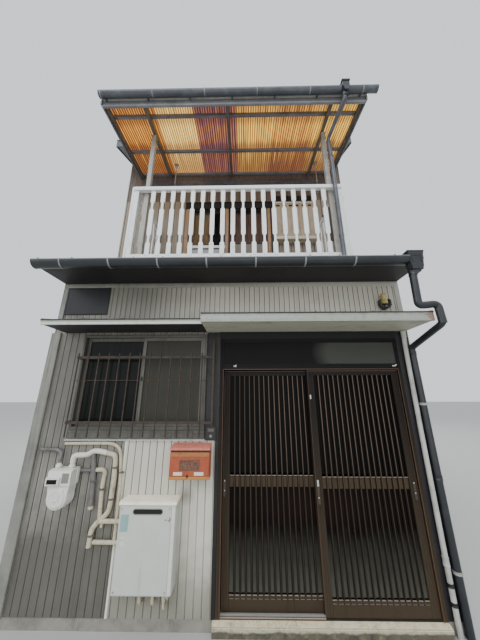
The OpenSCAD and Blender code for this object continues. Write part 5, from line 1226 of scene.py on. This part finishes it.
slant = bent([(1384, -474, 5200), (1378, -466, 5130), (1287, -81, 4985), (1296, -81, 4500),
    (1288, -81, span("balcony_downpipe")[0][2])], 34)
piece("balcony_pipe_run", [tube(slant, 26, 20)], "high gutter", ("balcony_downpipe",))
collars = [collar((x, -81, z), "z", 26) for x, z in ((1293, 4700), (1289, 3500))]
collars.append(collar((1384, -474, 5180), "z", 29, 50))
piece("balcony_pipe_collars", collars, "high gutter")
measured("eave_downpipe", "canopy_downpipe", "balcony_downpipe")

# %% [markdown]
# ## The barred window
# An aluminium window with two sliding sashes stands proud of the wall, over a dark apron and a
# light flashing. The left pane is nearly black, the right one obscured. In front of it a grille of
# thin round bars is strung on flat rails and one bead rod, all rusty.

# %% Frame, sashes and apron
WY = -90


def rim(x0, x1, z0, z1, w, y0, y1):
    """A rectangular ring of square section: two stiles the full height, and two rails between."""
    stiles = boxes([(x0, y0, z0), (x1 - w, y0, z0)], [(x0 + w, y1, z1), (x1, y1, z1)])
    rails = boxes([(x0 + w, y0, z0), (x0 + w, y0, z1 - w)], [(x1 - w, y1, z0 + w), (x1 - w, y1, z1)])
    return [stiles, rails]


mid = (WIN_L + WIN_R) / 2
window = rim(WIN_L, WIN_R, WIN_Z0, WIN_Z1, 28, WY, 0)
window += rim(WIN_L + 9, WIN_R - 9, WIN_Z0 + 9, WIN_Z1 - 9, 8, WY - 4, WY + 2)
piece("window_surround", window, "silver frame", ("window_frame",), bevel=1.2)
back_sash = rim(WIN_L + 28, mid + 17, WIN_Z0 + 28, WIN_Z1 - 28, 34, WY + 43, WY + 67)
front_sash = rim(mid - 17, WIN_R - 28, WIN_Z0 + 28, WIN_Z1 - 28, 34, WY + 15, WY + 40)
piece("window_sashes", back_sash + front_sash, "silver frame", bevel=1.5)
piece("window_latch", [boxes((mid - 8, WY + 11, 1865), (mid + 8, WY + 16, 1905)),
    boxes((mid - 3, WY + 5, 1878), (mid + 3, WY + 12, 1898))], "black plastic", bevel=1)
apron = [(FRONT - 12, APRON + 12), (FRONT, APRON + 12), (FRONT, WIN_Z0), (FRONT - 12, WIN_Z0),
    (FRONT - 12, WIN_Z0 - 13), (FRONT - 15, WIN_Z0 - 17), (FRONT - 15, WIN_Z0 - 25), (FRONT - 12, WIN_Z0 - 29)]
piece("window_apron", [carried(apron, WIN_L, WIN_R)], "apron sheet", bevel=0.8)
stops = [boxes((x, FRONT - 13.5, 1350), (x + 46, FRONT - 11, 1394))
    for x in np.arange(WIN_L + 20, WIN_R - 50, 100.5)]
piece("apron_panels", stops, "apron sheet", bevel=1)
flashing = [(FRONT, APRON), (FRONT - 28, APRON), (FRONT - 28, APRON + 6), (FRONT - 3, APRON + 12),
    (FRONT, APRON + 12)]
piece("window_flashing", [carried(flashing, WIN_L - 10, WIN_R + 10)], "white band", bevel=0.6)
pane = boxes((WIN_L + 60, WY + 53, WIN_Z0 + 60), (mid - 15, WY + 57, WIN_Z1 - 60))
piece("window_pane_left", [pane], "dark pane", ("front_glass",))
piece("window_pane_right", [boxes((mid + 15, WY + 25, WIN_Z0 + 60), (WIN_R - 60, WY + 29, WIN_Z1 - 60))],
    "window obscured pane")
piece("transom_pane", [boxes((DOOR_L + 33, FY + 9, 2019), (DOOR_R - 33, FY + 13, 2246))], "transom pane")
measured("window_frame")

# %% Grille
GY, G0, G1 = -165, -1458, -151.5
bar_x = G0 + 100.5 * np.arange(13)
bars = [tube([(x, GY, 1375), (x, GY, 1700), (x, GY, 2125)], 6.2, 12) for x in bar_x]
tips = [turned([(0, -7), (6.2, -2), (6.2, 0), (0, 0)], (x, GY, 1375), "z", 12) for x in bar_x]
flats = []
for z in (1485, 2075):
    flats += [boxes((G0 - 15, GY - 2, z - 4), (G1, GY + 2, z + 21)),
        boxes((G0 - 15, GY - 2, z - 4), (G0 - 11, WY, z + 21)), boxes((G1, GY - 2, z - 4), (G1 + 4, FRONT, z + 21)),
        boxes((G1 - 14, FRONT - 4, z - 8), (G1 + 18, FRONT - 0.3, z + 24))]
string = tube([(G0 - 15, GY, 1865), (-800, GY, 1865), (G1, GY, 1865)], 3, 10)
beads = [turned([(0, -7), (6, -6), (8, -2), (8, 2), (6, 6), (0, 7)], (x, GY, 1865), "z", 14) for x in bar_x]
rivets = [turned([(0, -3.4), (4, -2), (4.6, 0), (0, 0)], (x, GY - 2, z + 8), "y", 10) for x in bar_x
    for z in (1485, 2075)]
post = [boxes((G1, GY - 10, 1465), (G1 + 20, GY + 10, 2255))]
piece("grille_bars", bars + tips + [string], "grille rust", ("window_grille",))
piece("grille_flats", flats + post, "grille rust", bevel=0.8)
piece("grille_beads", beads + rivets, "rust edge")
print("grille bars:", len(bar_x))

# %% [markdown]
# ## The mailbox
# A folded sheet-steel box with a sloping lid on a hinge pin. Its front has a tan band above, an
# orange-red door with a plain raised plate, two small bare plates, a black lock, and a yellowed rim
# below. The lid is a second body, so it is its own piece and swings up with the CAD lid.

# %% Mailbox body
def plate(x0, x1, z0, z1, y, thick, r=3):
    """A flat plate on the front, with corners rounded by r: the outline carried out from y."""
    places = ((x1 - r, z0 + r, 270), (x1 - r, z1 - r, 0), (x0 + r, z1 - r, 90), (x0 + r, z0 + r, 180))
    corners = [arc((x, z), r, turn, turn + 90, 5) for x, z, turn in places]
    return carried(np.vstack(corners), y, y - thick, "y")


ML, MR, MY, MZ0, MZ1 = -487, -148, -190, 1052, 1257
cheek = [(MY, MZ0), (FRONT, MZ0), (FRONT, 1317), (FRONT - 12, 1317), (FRONT - 18, MZ1 + 26), (MY, MZ1)]
body_parts = [carried(cheek, ML, ML + 3), carried(cheek, MR - 3, MR), boxes((ML, MY, MZ0), (MR, FRONT, MZ0 + 3)),
    boxes((ML, FRONT - 3, MZ0), (MR, FRONT - 0.3, MZ1 + 26)),
    boxes((ML + 2.5, MY, MZ0), (MR - 2.5, MY + 3, MZ1 + 2))]
piece("mailbox_body", body_parts, "mailbox red", ("mailbox",), bevel=1)
piece("mailbox_upper_band", [plate(ML + 3, MR - 3, 1226, 1259, MY, 2.5, 2)], "mailbox band",
    bevel=0.8)
door = [plate(ML + 5, MR - 5, 1080, 1221, MY, 3.5, 4), plate(ML + 22, MR - 22, 1114, 1208, MY - 3.5, 1.2, 6)]
piece("mailbox_door", door, "mailbox red", bevel=0.8)
raised = [plate(-403, -232, 1122, 1201, MY - 4.5, 3, 5), plate(-392, -243, 1131, 1192, MY - 7.4, 2.2, 4),
    plate(-382, -330, 1141, 1182, MY - 9.4, 1.8, 3), plate(-318, -254, 1141, 1182, MY - 9.4, 1.8, 3)]
piece("mailbox_bare_relief", raised, "mailbox relief", bevel=0.8)
small = [plate(x0, x1, 1085, 1110, MY - 3.4, 1.5, 2) for x0, x1 in ((-450, -376), (-274, -196))]
piece("mailbox_small_plates", small, "bare white plate")
hinge_rim = [(MY - 1, MZ0), (MY + 2, MZ0), (MY + 2, MZ0 + 23), (MY - 1, MZ0 + 23), (MY - 5, MZ0 + 19),
    (MY - 5, MZ0 + 3)]
piece("mailbox_rim", [carried(hinge_rim, ML - 3, MR + 3)], "mailbox rim", bevel=0.6)
lock = [turned([(0, 0), (9, 0), (9, -5), (7, -6.5), (0, -6.5)], (-332, MY - 3, 1082), "y", 20),
    boxes((-336, MY - 12, 1066), (-328, MY - 6, 1080))]
piece("mailbox_lock", lock, "black plastic", bevel=0.6)
# the dark plate stands for the inside in shade: painted shade
piece("mailbox_dark_slot", [boxes((ML + 3, MY + 4, 1240), (MR - 3, MY + 5, MZ1 + 14))], "shaded mailbox inside")
pin = rod(3, 0, 339, (ML, -72, 1311), "x", 14)
piece("mailbox_pin", [pin], "strap metal")
measured("mailbox")

# %% Mailbox lid
lid_line = [(-96, 1313), (-202, 1295.5), (-204.5, 1293), (-204.5, 1277), (-201.5, 1277), (-201.5, 1291),
    (-199, 1292.6), (-96, 1310)]
lid = [carried(lid_line, -493, -142)]
strip = [(-70, 1314.2), (-98, 1311.5), (-98, 1314), (-70, 1316.4)]
lid += [carried(strip, -479, -156)]
lid += [turned(oblong(3.5, 0, 5.4, 58), (x, -72, 1311), "x", 18, "joined") for x in (-478, -348, -216)]
piece("mailbox_flap", lid, "mailbox lid", ("mailbox_lid",), "mail_flap", bevel=0.6)
measured("mailbox_lid")

# %% [markdown]
# ## The water heater
# An enamelled steel cabinet: a case with rounded upright edges, a front cover proud of it, a vent
# slot with a grey lip, and a lid whose cream paint has stained. Its small plates are bare.

# %% Heater
HL, HR, HY, HB, HZ0, HZ1 = -860, -404, -215, -71, 300, 879


def rounded_plan(x0, x1, y0, y1, r):
    """A rectangle in plan whose front corners have radius r."""
    return np.vstack([arc((x0 + r, y0 + r), r, 180, 270, 6), arc((x1 - r, y0 + r), r, 270, 360, 6),
        [(x1, y1), (x0, y1)]])


piece("heater_case", [carried(rounded_plan(HL, HR, HY + 5, HB, 10), HZ0, HZ1, "z")], "heater enamel",
    ("water_heater",), bevel=1.5)
vl, vr, vz, vh = -750, -505, 835, 44
slot_ring, lip_ring = [np.vstack([arc((vr - vh / 2, vz), r, -90, 90, 10), arc((vl + vh / 2, vz), r, 90, 270, 10)])
    for r in (vh / 2, vh / 2 - 6)]


def framed(outer, inner, y_out, y_in, y_back):
    """A ring between two outlines: flush at y_out outside, rolled in to y_in at the inner one."""
    mid_line = (outer + inner) / 2
    layers = [(outer, y_back), (outer, y_out), (mid_line, y_out - 2), (inner, y_out), (inner, y_in)]
    return grid(np.stack([np.insert(ring, 1, y, axis=1) for ring, y in layers]), caps="joined")


cover = rounded_plan(HL + 9, HR - 34, HY, HY + 6, 4)
piece("heater_cover", [carried(cover, HZ0 + 8, HZ1 - 5, "z")], "heater enamel", bevel=1)
piece("heater_side_strip", [carried(rounded_plan(HR - 31, HR - 3, HY + 1, HY + 7, 3), HZ0 + 8, HZ1 - 5, "z")],
    "bare white plate", bevel=1)
piece("heater_vent_lip", [framed(slot_ring, lip_ring, HY - 3, HY + 1, HY + 1)], "grey trim")
piece("heater_vent_dark", [carried(lip_ring, HY - 0.6, HY + 0.5, "y")], "deep shadow")
vanes = [boxes((vl + 14, HY - 1.4, z), (vr - 14, HY - 0.4, z + 2)) for z in (824, 834, 844)]
piece("heater_vent_vanes", vanes, "black plastic")
lid_profile = [(HY - 6, HZ1), (HB, HZ1), (HB, HZ1 + 26), (HY + 14, HZ1 + 26), (HY - 2, HZ1 + 20),
    (HY - 6, HZ1 + 14)]
piece("heater_lid", [carried(lid_profile, HL - 6, HR + 6)], "heater lid", bevel=2)
piece("heater_bare_plates", [plate(-841, -778, 700, 815, HY, 0.8, 2)], "pale plate")
piece("heater_small_plate", [plate(-836, -806, 655, 668, HY, 0.7, 2), plate(-826, -790, 603, 639, HY, 0.7, 17)],
    "bare white plate")
bolts = [turned([(0, 0), (6, 0), (6, -2), (3, -3.4), (0, -3.4)], (x, HY + 0.5, z), "y", 14) for x in (-838, -452)
    for z in (325, 855)]
piece("heater_screws", bolts, "strap metal")
marks = [plate(-462, -446, 770, 776, HY - 0.1, 0.8, 2), plate(-450, -443, 776, 796, HY - 0.1, 0.9, 2),
    plate(-490, -468, 777, 781, HY - 0.1, 0.8, 1.5)]
piece("heater_rust_marks", marks, "rust edge")
straps = [boxes((x, HB, 270), (x + 40, FRONT - 0.3, 898)) for x in (-800, -504)]
piece("heater_wall_straps", straps, "strap metal", bevel=1)
valve = [tube([(-470, -150, 300), (-470, -150, 262), (-470, -150, 235)], 11, 16),
    rod(17, -9, 9, (-470, -150, 262), "z", 6), rod(7, 0, 26, (-470, -150, 262), "x", 14),
    rod(15, -5, 5, (-440, -150, 262), "x", 8)]
valve += [tube(bent([(x, -140, 300), (x, -140, 210), (x, -66, 190)], 30), 12, 16) for x in (-560, -660)]
valve.append(tube(bent([(-470, -150, 236), (-470, -150, 190), (-470, -66, 170)], 24), 9, 14))
piece("heater_valve", valve, "pipe wrap")
measured("water_heater")

# %% [markdown]
# ## The gas meter and the pipes
# The meter is a cast white case: a boxy head with a dark window, a round drum below, and two unions
# on top. The pipes beside it are wrapped in tape, so each is a tube whose radius ripples with the
# turns of the tape, clamped where pipes cross and clipped to the wall.

# %% Meter
GL, GR, GF, GB = -1505, -1300, -215, -95
mx = (GL + GR) / 2
head_shape = [(GF + 14, 1000), (GB, 1000), (GB, 1130), (GF + 30, 1130), (GF + 4, 1118), (GF, 1108), (GF, 1012)]
case = [carried(head_shape, GL + 4, GR - 4), boxes((GL, GB - 40, 1008), (GR, GB - 4, 1122))]
shoulder = [(GL + 12, 1004), (GR - 12, 1004), (GR - 22, 925), (GL + 22, 925)]
case += [carried(shoulder, GF + 12, GB - 2, "y")]
piece("meter_case", case, "meter paint", ("gas_meter",), bevel=4)
drum = turned([(0, -95), (80, -95), (87, -101), (87.5, -112), (80, -116), (80, -122), (87.5, -126), (87.5, -192),
    (82, -203), (70, -207), (66, -213), (52, -216), (49, -211), (26, -210), (22, -217), (0, -217)], (mx, 0, 917.5),
    "y", 40)
spoke, spokes = np.array([(28, -4), (62, -5), (62, 5), (28, 4)]), []
for t in np.radians(np.arange(12) * 30 + 15):
    turn = [[math.cos(t), math.sin(t)], [-math.sin(t), math.cos(t)]]
    spokes.append(carried(spoke @ turn + [mx, 917.5], -214, -206, "y"))
lugs = [turned([(0, -112), (9, -112), (9, -126), (6, -130), (0, -130)],
    (mx + 84 * math.cos(t), 0, 917.5 + 84 * math.sin(t)), "y", 12)
    for t in np.radians((20, 75, 105, 160, 200, 250, 290, 340))]
piece("meter_drum", [drum] + spokes + lugs, "meter paint", bevel=0.8)
counter = [carried([(GF + 3, 1012), (GF - 12, 1012), (GF - 16, 1018), (GF - 16, 1066), (GF - 8, 1076),
    (GF + 3, 1076)], GL + 2, GL + 118)]
piece("meter_window_frame", counter + rim(GL + 10, GL + 110, 1020, 1068, 7, GF - 20, GF - 15), "bare white plate",
    bevel=1.2)
piece("meter_window", [boxes((GL + 16, GF - 18, 1026), (GL + 104, GF - 15.6, 1062))], "dark pane",
    bevel=0.5)
piece("meter_bare_plate", [plate(mx + 26, mx + 84, 1030, 1104, GF, 1.5, 3)], "grey trim")
unions = []
for x in (GL + 45, GR - 45):
    unions += [turned([(0, 0), (17, 0), (17, 6), (24, 8), (24, 26), (17, 28), (17, 40), (0, 40)], (x, -155, 1130),
        "z", 24), rod(26, 8, 24, (x, -155, 1130), "z", 6)]
feet = [boxes((x, GB - 2, 1020), (x + 20, FRONT - 0.3, 1070)) for x in (GL + 20, GR - 40)]
piece("meter_unions", unions + feet, "meter paint", bevel=1)
measured("gas_meter")


# %% Wrapped pipes
def wrapped(corners, radius, bend=34, turn=26):
    """A taped pipe: the path is cut into even steps, and the radius ripples as
    r (1 + 0.06 |sin(pi s / turn)|), where s is the length along it."""
    path = bent(corners, bend, 8)
    length = np.concatenate([[0], np.cumsum(np.linalg.norm(np.diff(path, axis=0), axis=1))])
    s = np.linspace(0, length[-1], max(8, int(length[-1] / 6)))
    even = np.stack([np.interp(s, length, path[:, k]) for k in range(3)], -1)
    return tube(even, radius * (1 + 0.06 * np.abs(np.sin(np.pi * s / turn))), 14)


def on_wall(y, radius, turn, *places):
    """A wrapped pipe at distance y through places (x, z) on the wall."""
    return wrapped([(x, y, z) for x, z in places], radius, 40, turn)


runs = [on_wall(-86, 13, 30, (-1484, 1310), (-1071, 1312), (-999, 1291), (-963, 1238), (-937, 1014), (-930, 640),
    (-930, 560)), on_wall(-92, 20, 26, (-1086, 1234), (-1020, 1222), (-1002, 1198), (-992, 1014), (-998, 836),
    (-1006, 778), (-1089, 710), (-1130, 658), (-1132, 540)),
    on_wall(-90, 17, 26, (-1160, 1099), (-1095, 1103), (-1079, 1079), (-1087, 1014), (-1087, 916), (-1074, 735)),
    on_wall(-100, 17, 26, (-1086, 721), (-960, 722), (-862, 722)),
    on_wall(-96, 15, 22, (-1100, 576), (-960, 575), (-862, 574))]
piece("wrapped_pipes", runs, "pipe wrap", ("wall_pipes",))
fat = [(GR - 45, -155, 1168), (GR - 45, -155, 1212), (GR - 35, -150, 1228), (-1238, -118, 1225),
    (-1207, -104, 1253), (-1150, -98, 1250), (-1086, -94, 1236)]
piece("meter_pipe", [wrapped(fat, 21, 34, 20)], "bare white plate")
piece("grey_pipes", [on_wall(-94, 21, 60, (-1210, 1246), (-1184, 1106), (-1173, 1014), (-1163, 828)),
    on_wall(-88, 14, 60, (-1336, 1094), (-1215, 1095), (-1180, 1096)),
    wrapped([(GL + 45, -155, 1168), (GL + 45, -155, 1200), (GL + 30, -120, 1240), (GL - 40, -90, 1262),
    (-1700, -86, 1262)], 14, 30, 60)], "mauve pipe")
piece("pipe_plug", [turned([(0, 0), (20, 0), (22, 6), (22, 22), (14, 26), (0, 26)], (-1162, -94, 806), "z", 18),
    turned([(0, -26), (9, -26), (11, -20), (11, 0), (0, 0)], (-1046, -100, 704), "z", 14)], "pipe wrap")
clamps = []
for x, y, z, r in ((-1087, -90, 952, 23), (-1173, -94, 1014, 26), (-996, -92, 1120, 25), (-1000, -92, 880, 25),
        (-940, -86, 1080, 17), (-1131, -92, 620, 25)):
    clamps += [turned([(0, -8), (r - 3, -8), (r, -6), (r, 6), (r - 3, 8), (0, 8)], (x, y, z), "z", 18),
        boxes((x - 7, y, z - 5), (x + 7, FRONT - 0.3, z + 5)),
        boxes((x + r - 3, y - 9, z - 7), (x + r + 13, y - 4, z + 7)), rod(5, 0, -5, (x + r + 6, y - 8, z), "y", 6)]
piece("pipe_clamps", clamps, "clamp metal", bevel=0.8)
measured("wall_pipes")

# %% [markdown]
# ## The balcony railing
# Eighteen flat white boards stand between a bottom rail and a rounded hand rail, each cut in twice
# on both sides, which gives it a turned look. The outline is straight lines and quarter curves,
# carried through the board's thickness, and a small bevel catches the light as thick old paint does.

# %% Boards and rails
RY0, RY1, RAIL_L, RAIL_R = -24, -6, -1235, 1395


def cut_outline(x, z0, z1):
    """A board 54 wide with a neck 26 wide and 130 high at 0.225 and 0.75 of its height."""
    neck = np.array([(27, -65), (25, -59), (18, -52), (14, -43), (13, -34), (13, 34), (14, 43), (18, 52), (25, 59),
        (27, 65)])
    places = [neck + [0, z0 + k * (z1 - z0)] for k in (0.225, 0.75)]
    right = np.vstack([[(27, z0)]] + places + [[(27, z1)]])
    return np.vstack([right, right[::-1] * [-1, 1]]) + [x, 0]


centres = -985.7 + 126.6 * np.arange(18)
boards = [carried(cut_outline(x, 3310, 4230), RY0, RY1, "y") for x in centres]
boards += [boxes((x, RY0, 3310), (x + 60, RY1, 4230)) for x in (RAIL_L, RAIL_R - 60)]
boards += [boxes((x, RY0 - 3, 3268), (x + 25, RY1 + 70, 4290)) for x in (-1260.5, 1395.5)]
piece("railing_boards", boards, "railing paint", ("railing_front",), bevel=1.5)


def hand_rail(u):
    """Profile of the rounded hand rail, 60 wide, from u across."""
    return np.array([(0, 4262), (2, 4276), (9, 4286), (21, 4291.5), (39, 4291.5), (51, 4286), (58, 4276),
        (60, 4262), (60, 4238), (56, 4230), (4, 4230), (0, 4238)]) + [u, 0]


rails = [carried(p, RAIL_L, RAIL_R) for p in (hand_rail(-45), oblong(RY0, 3265, RY1, 3310))]
piece("railing_rails", rails, "railing paint", bevel=1.5)
nails = [turned([(0, 0), (4, 0), (4, -1.4), (0, -2.2)], (x + dx, RY0, z), "y", 8) for x in centres
    for dx in (-12, 12) for z in (3288, 4220)]
piece("railing_nails", nails, "rust edge")
side_rails = []
for x0 in (RAIL_L, RAIL_R - 60):
    side_rails += [carried(p, 15, 845, "y") for p in (hand_rail(x0), oblong(x0 + 21, 3265, x0 + 39, 3310))]
    side_rails += [carried(cut_outline(y, 3310, 4230), x0 + 21, x0 + 39) for y in 15
        + 138.33 * (np.arange(6) + 0.5)]
piece("railing_side_boards", side_rails, "railing paint", ("railing_sides",), bevel=1.5)
measured("railing_sides")

# %% [markdown]
# ## Posts, beams and hangers
# Two bare posts stand behind the rail and carry the rafters. The front purlin is a lighter beam. From
# the rafters hang two steel hangers for a laundry pole, and a rusty hook sits on the right post.

# %% Post details
shafts, straps = [], []
for x in (-1122, 1246):
    shafts.append(boxes((x, 22, 3281), (x + 56, 78, 5263)))
    straps += [boxes((a, 20, 5140), (a + 2.5, 80, 5262)) for a in (x - 2.5, x + 56)]
    straps += [turned([(0, 0), (6, 0), (6, 3), (3, 5), (0, 5)], (x + 58.5, 50, z), "x", 12)
        for z in (5165, 5200, 5235)]
piece("balcony_post_shafts", shafts, "worn post", ("balcony_posts",), bevel=3)
piece("post_straps", straps, "clamp metal", bevel=0.8)
hangers = []
for x in (-925, 1319):
    hangers += [tube([(x, 560, 5330), (x, 560, 5100), (x, 560, 4950)], 7, 12),
        tube([(x, 560, 4990), (x, 560, 4900), (x, 560, 4800)], 5, 12), rod(10, -12, 12, (x, 560, 4960), "z", 12),
        boxes((x - 30, 535, 5318), (x + 30, 585, 5326))]
    hangers.append(tube(np.insert(arc((560, 4768), 34, 100, 440, 26), 0, x, axis=1), 4.5, 10))
piece("pole_hangers", hangers, "strap metal")
arm = [boxes((1205, 28, 3500), (1239, 40, 3990)),
    tube(bent([(1222, 34, 3960), (1222, 160, 3960), (1222, 220, 4010)], 30), 8, 12),
    tube(bent([(1222, 34, 3560), (1222, 150, 3800), (1222, 160, 3950)], 30), 6, 12),
    rod(13, -10, 10, (1222, 220, 4012), "z", 14)]
piece("pole_arm", arm, "grille rust", bevel=0.8)
print("hangers made")

# %% [markdown]
# ## The balcony window and the shutter box
# Timber posts frame two sliding sashes with brown curtains behind dark glass; a white rail crosses
# the left half. Beside it stands the box that the storm shutters slide into, of beige enamelled
# sheet with pressed panels and a ledge.

# %% Window and curtains
posts = [boxes((a, 828, 3340), (b, 905, 4720)) for a, b in ((-785, -734), (-134, -84), (546, 596))]
posts.append(boxes((-734, 826, 3340), (640, 905, 3400)))
piece("window_posts", posts, "window timber", ("balcony_window",), bevel=2)
sash = rim(-734, -134, 3400, 4690, 26, 850, 872) + rim(-84, 546, 3400, 4690, 26, 874,
    896) + [boxes((596, 832, 3340), (640, 905, 4720))]
piece("window_dark_sashes", sash, "dark soffit", bevel=1.5)
piece("window_white_rail", [boxes((-734, 832, 3944), (-134, 849, 3990))], "railing paint", bevel=2)
dark = [boxes((-797, 822, 4682), (650, 845.5, 4808)), boxes((-800, 812, 4796), (655, 845, 4810))]
piece("window_head_shadow", dark, "deep shadow", bevel=2)


def curtain(x0, x1, z0, z1, y):
    """Hanging folds: y moves by 7 sin(2 pi x / 58) + 3 sin(2 pi x / 23), more at the hem."""
    x = np.linspace(x0, x1, int((x1 - x0) / 5))
    z = np.linspace(z0, z1, 12)
    fall = 1 - 0.5 * (z - z0) / (z1 - z0)
    wave = 7 * np.sin(2 * np.pi * x / 58 + 0.6 * np.sin(x / 90)) + 3 * np.sin(2 * np.pi * x / 23)
    folds = np.stack(np.broadcast_arrays(x, y + fall[:, None] * wave, z[:, None]), -1)
    return grid(folds, wrap=False, caps=False)


for name, shades in (("curtain cloth", "a88c62 c4a87c 5a4530"), ("dark curtain cloth", "86685a a08070 44342b")):
    paint(name, shades, (0.8, 0.95), across=25, down=1.2, streaks=0.6, size=4, grit=0.3)
CURTAIN_Z = 4040, 4680  # where the glass shows them; their flat width is 1.18 of it, for the folds
for name, x0, x1, finish in (("left", -728, -372, "curtain cloth"), ("right", -78, 540, "dark curtain cloth")):
    drape = piece(f"curtain_{name}", [curtain(x0, x1, *CURTAIN_Z, 930)], finish)
    cloth = drape.modifiers.new("cloth", "SOLIDIFY")
    cloth.thickness, cloth.offset = 0.002, 0
piece("curtain_rail", [tube([(-730, 930, 4684), (0, 930, 4684), (545, 930, 4684)], 6, 12)], "strap metal")
high_panes = [boxes((-708, 859, 3995), (-160, 863, 4664)), boxes((-58, 883, 4050), (520, 887, 4664))]
piece("balcony_high_panes", high_panes, "balcony pane", ("upper_glass",))
piece("low_pane_left", [boxes((-708, 859, 3426), (-160, 863, 3940))], "grey low pane")
piece("low_pane_right", [boxes((-58, 883, 3426), (520, 887, 4042))], "brown low pane")
piece("pane_bar", [boxes((-84, 876, 4040), (546, 894, 4052))], "dark soffit", bevel=1)

measured("balcony_window")

# %% Shutter box and louvre
SL, SR, SY = 660, 1280, 745
plan = [(SL, 845), (SL, SY + 3), (SL + 3, SY)]
edges = np.linspace(SL + 12, SR - 12, 9)
for a, b in zip(edges[:-1], edges[1:]):
    plan += [(a + 4, SY), (a + 8, SY + 5), (a + 14, SY + 5), (a + 18, SY)]
plan += [(SR - 3, SY), (SR, SY + 3), (SR, 845)]
piece("shutter_box_sides", [carried(plan, 4030, 4696, "z")], "shutter enamel", ("shutter_box",),
    bevel=0.8)
ledge = [(845, 4696), (731, 4696), (731, 4712), (735, 4720), (845, 4720)]
foot = [(845, 4022), (730, 4022), (727, 4026), (727, 4068), (731, 4074), (845, 4074)]
piece("shutter_box_ledges", [carried(ledge, SL - 14, SR + 14), carried(foot, SL - 10, SR + 10)], "box ledge",
    bevel=1.5)
slots = [boxes((x, SY - 1.5, 4640), (x + 58, SY + 1, 4672)) for x in np.linspace(SL + 26, SR - 84, 6)]
piece("shutter_box_slots", slots, "deep shadow", bevel=1)
louvre = [(845, 4830)] + [p for z in (4830, 4854, 4878, 4902)
    for p in ((829, z), (829, z + 5), (841, z + 22))] + [(829, 4926), (845, 4926)]
piece("wall_louvre", [carried(louvre, SL, 1345)], "deep shadow")
# a dark board along the wall under the balcony roof: partly a board, partly painted shade
beam = [(845, 5150), (836, 5150), (834, 5154), (834, 5236), (838, 5240), (834, 5244), (834, 5296), (845, 5300)]
piece("wall_dark_board", [carried(beam, -1560, 1560)], "high gutter", bevel=1)
measured("shutter_box")

# %% [markdown]
# ## Trims and small fittings
# Folded trims close the siding's edges, a dark panel fills the left end of the band, and an old
# glazed insulator with its iron ring still hangs on the right.

# %% Trims, panel, insulator, intercom
trims = [carried([(FRONT, 2860), (FRONT - 10, 2860), (FRONT - 14, 2866), (FRONT - 14, 2902), (FRONT - 10, 2910),
    (FRONT, 2910)], -1820, 1820)]
corner = [(-1832, -95), (-1745, -95), (-1740, -90), (-1740, -65), (-1820, -65), (-1820, -40), (-1832, -40)]
trims.append(carried(corner, 80, SOFFIT, "z"))
trims += [boxes((-1820, FRONT - 14, 2452), (-1770, FRONT - 0.3, 2860)),
    boxes((1770, FRONT - 14, 2537), (1820, FRONT - 0.3, 2860))]
piece("folded_trims", trims, "grey trim", ("wall_trims",), bevel=1.5)
piece("navy_panel", [boxes((-1770, FRONT - 12, 2552), (-1300, FRONT - 0.3, 2860))]
    + rim(-1764, -1306, 2558, 2854, 10, FRONT - 14, FRONT - 11), "navy panel", ("dark_panel",),
    bevel=1)
knob = [(0, -56), (25, -56), (31, -50), (31, -30), (25, -20), (23, -8), (23, 8), (25, 20), (31, 30), (31, 48),
    (25, 56), (0, 56)]
piece("insulator_knob", [turned(knob, (1620, -117, 2690), "z", 28)], "insulator glaze",
    ("wall_insulator",))
ring = np.insert(arc((1620, 2606), 17, 0, 360, 37), 1, -138, axis=1)
fork = np.vstack([[(1558, 2676)], arc((1620, 2640), 62, 180, 360, 20), [(1682, 2676), (1662, 2690), (1662, 2640)],
    arc((1620, 2640), 42, 360, 180, 20), [(1578, 2690)]])
iron = [tube(ring, 4.5, 12), carried(fork, -132, -102, "y"), boxes((1604, -104, 2582), (1636, FRONT - 0.3, 2600)),
    rod(7, -70, 70, (1620, -117, 2626), "x", 12)]
piece("insulator_iron", iron, "black plastic", bevel=0.8)
bell = [plate(-203, -109, 1336, 1455, FRONT, 24, 8), plate(-196, -116, 1343, 1448, FRONT - 24, 3.5, 6)]
piece("intercom_case", bell, "black plastic", ("intercom",), bevel=1.2)
grille_slots = [plate(-184, -128, z, z + 3, FRONT - 27.5, 0.6, 1.2) for z in np.arange(1412, 1440, 7)]
button = turned([(0, 0), (13, 0), (13, -2), (11, -3), (0, -3.4)], (-156, FRONT - 27.5, 1372), "y", 24)
piece("intercom_front", grille_slots + [button], "grey pipe")
measured("wall_insulator", "intercom")

# %% Back windows
for k, z in enumerate((1030, 4130)):
    outer = rim(-635, 635, z, z + 900, 28, BACK - 65, BACK + 25)
    left = rim(-607, 17, z + 28, z + 872, 34, BACK - 42, BACK - 16)
    right = rim(-17, 607, z + 28, z + 872, 34, BACK - 14, BACK + 12)
    piece(f"back_window_{k + 1}", outer + left + right, "silver frame", ("back_windows",),
        bevel=1.2)
    sill = [(BACK, z - 12), (BACK + 40, z - 12), (BACK + 40, z - 8), (BACK + 10, z), (BACK, z)]
    piece(f"back_sill_{k + 1}", [carried(sill, -650, 650)], "white band", bevel=0.6)
    head = [(BACK, z + 900), (BACK + 60, z + 900), (BACK + 60, z + 906), (BACK, z + 930)]
    piece(f"back_hood_{k + 1}", [carried(head, -655, 655)], "canopy enamel", bevel=0.8)
measured("back_windows")

# %% [markdown]
# ## Counts at the end
# The CAD model sets the dimensions; the pieces made and their faces are counted.

# %% Count the pieces and finish
print("pieces made:", len(made), "faces:", sum(len(item.data.polygons) for item in made))
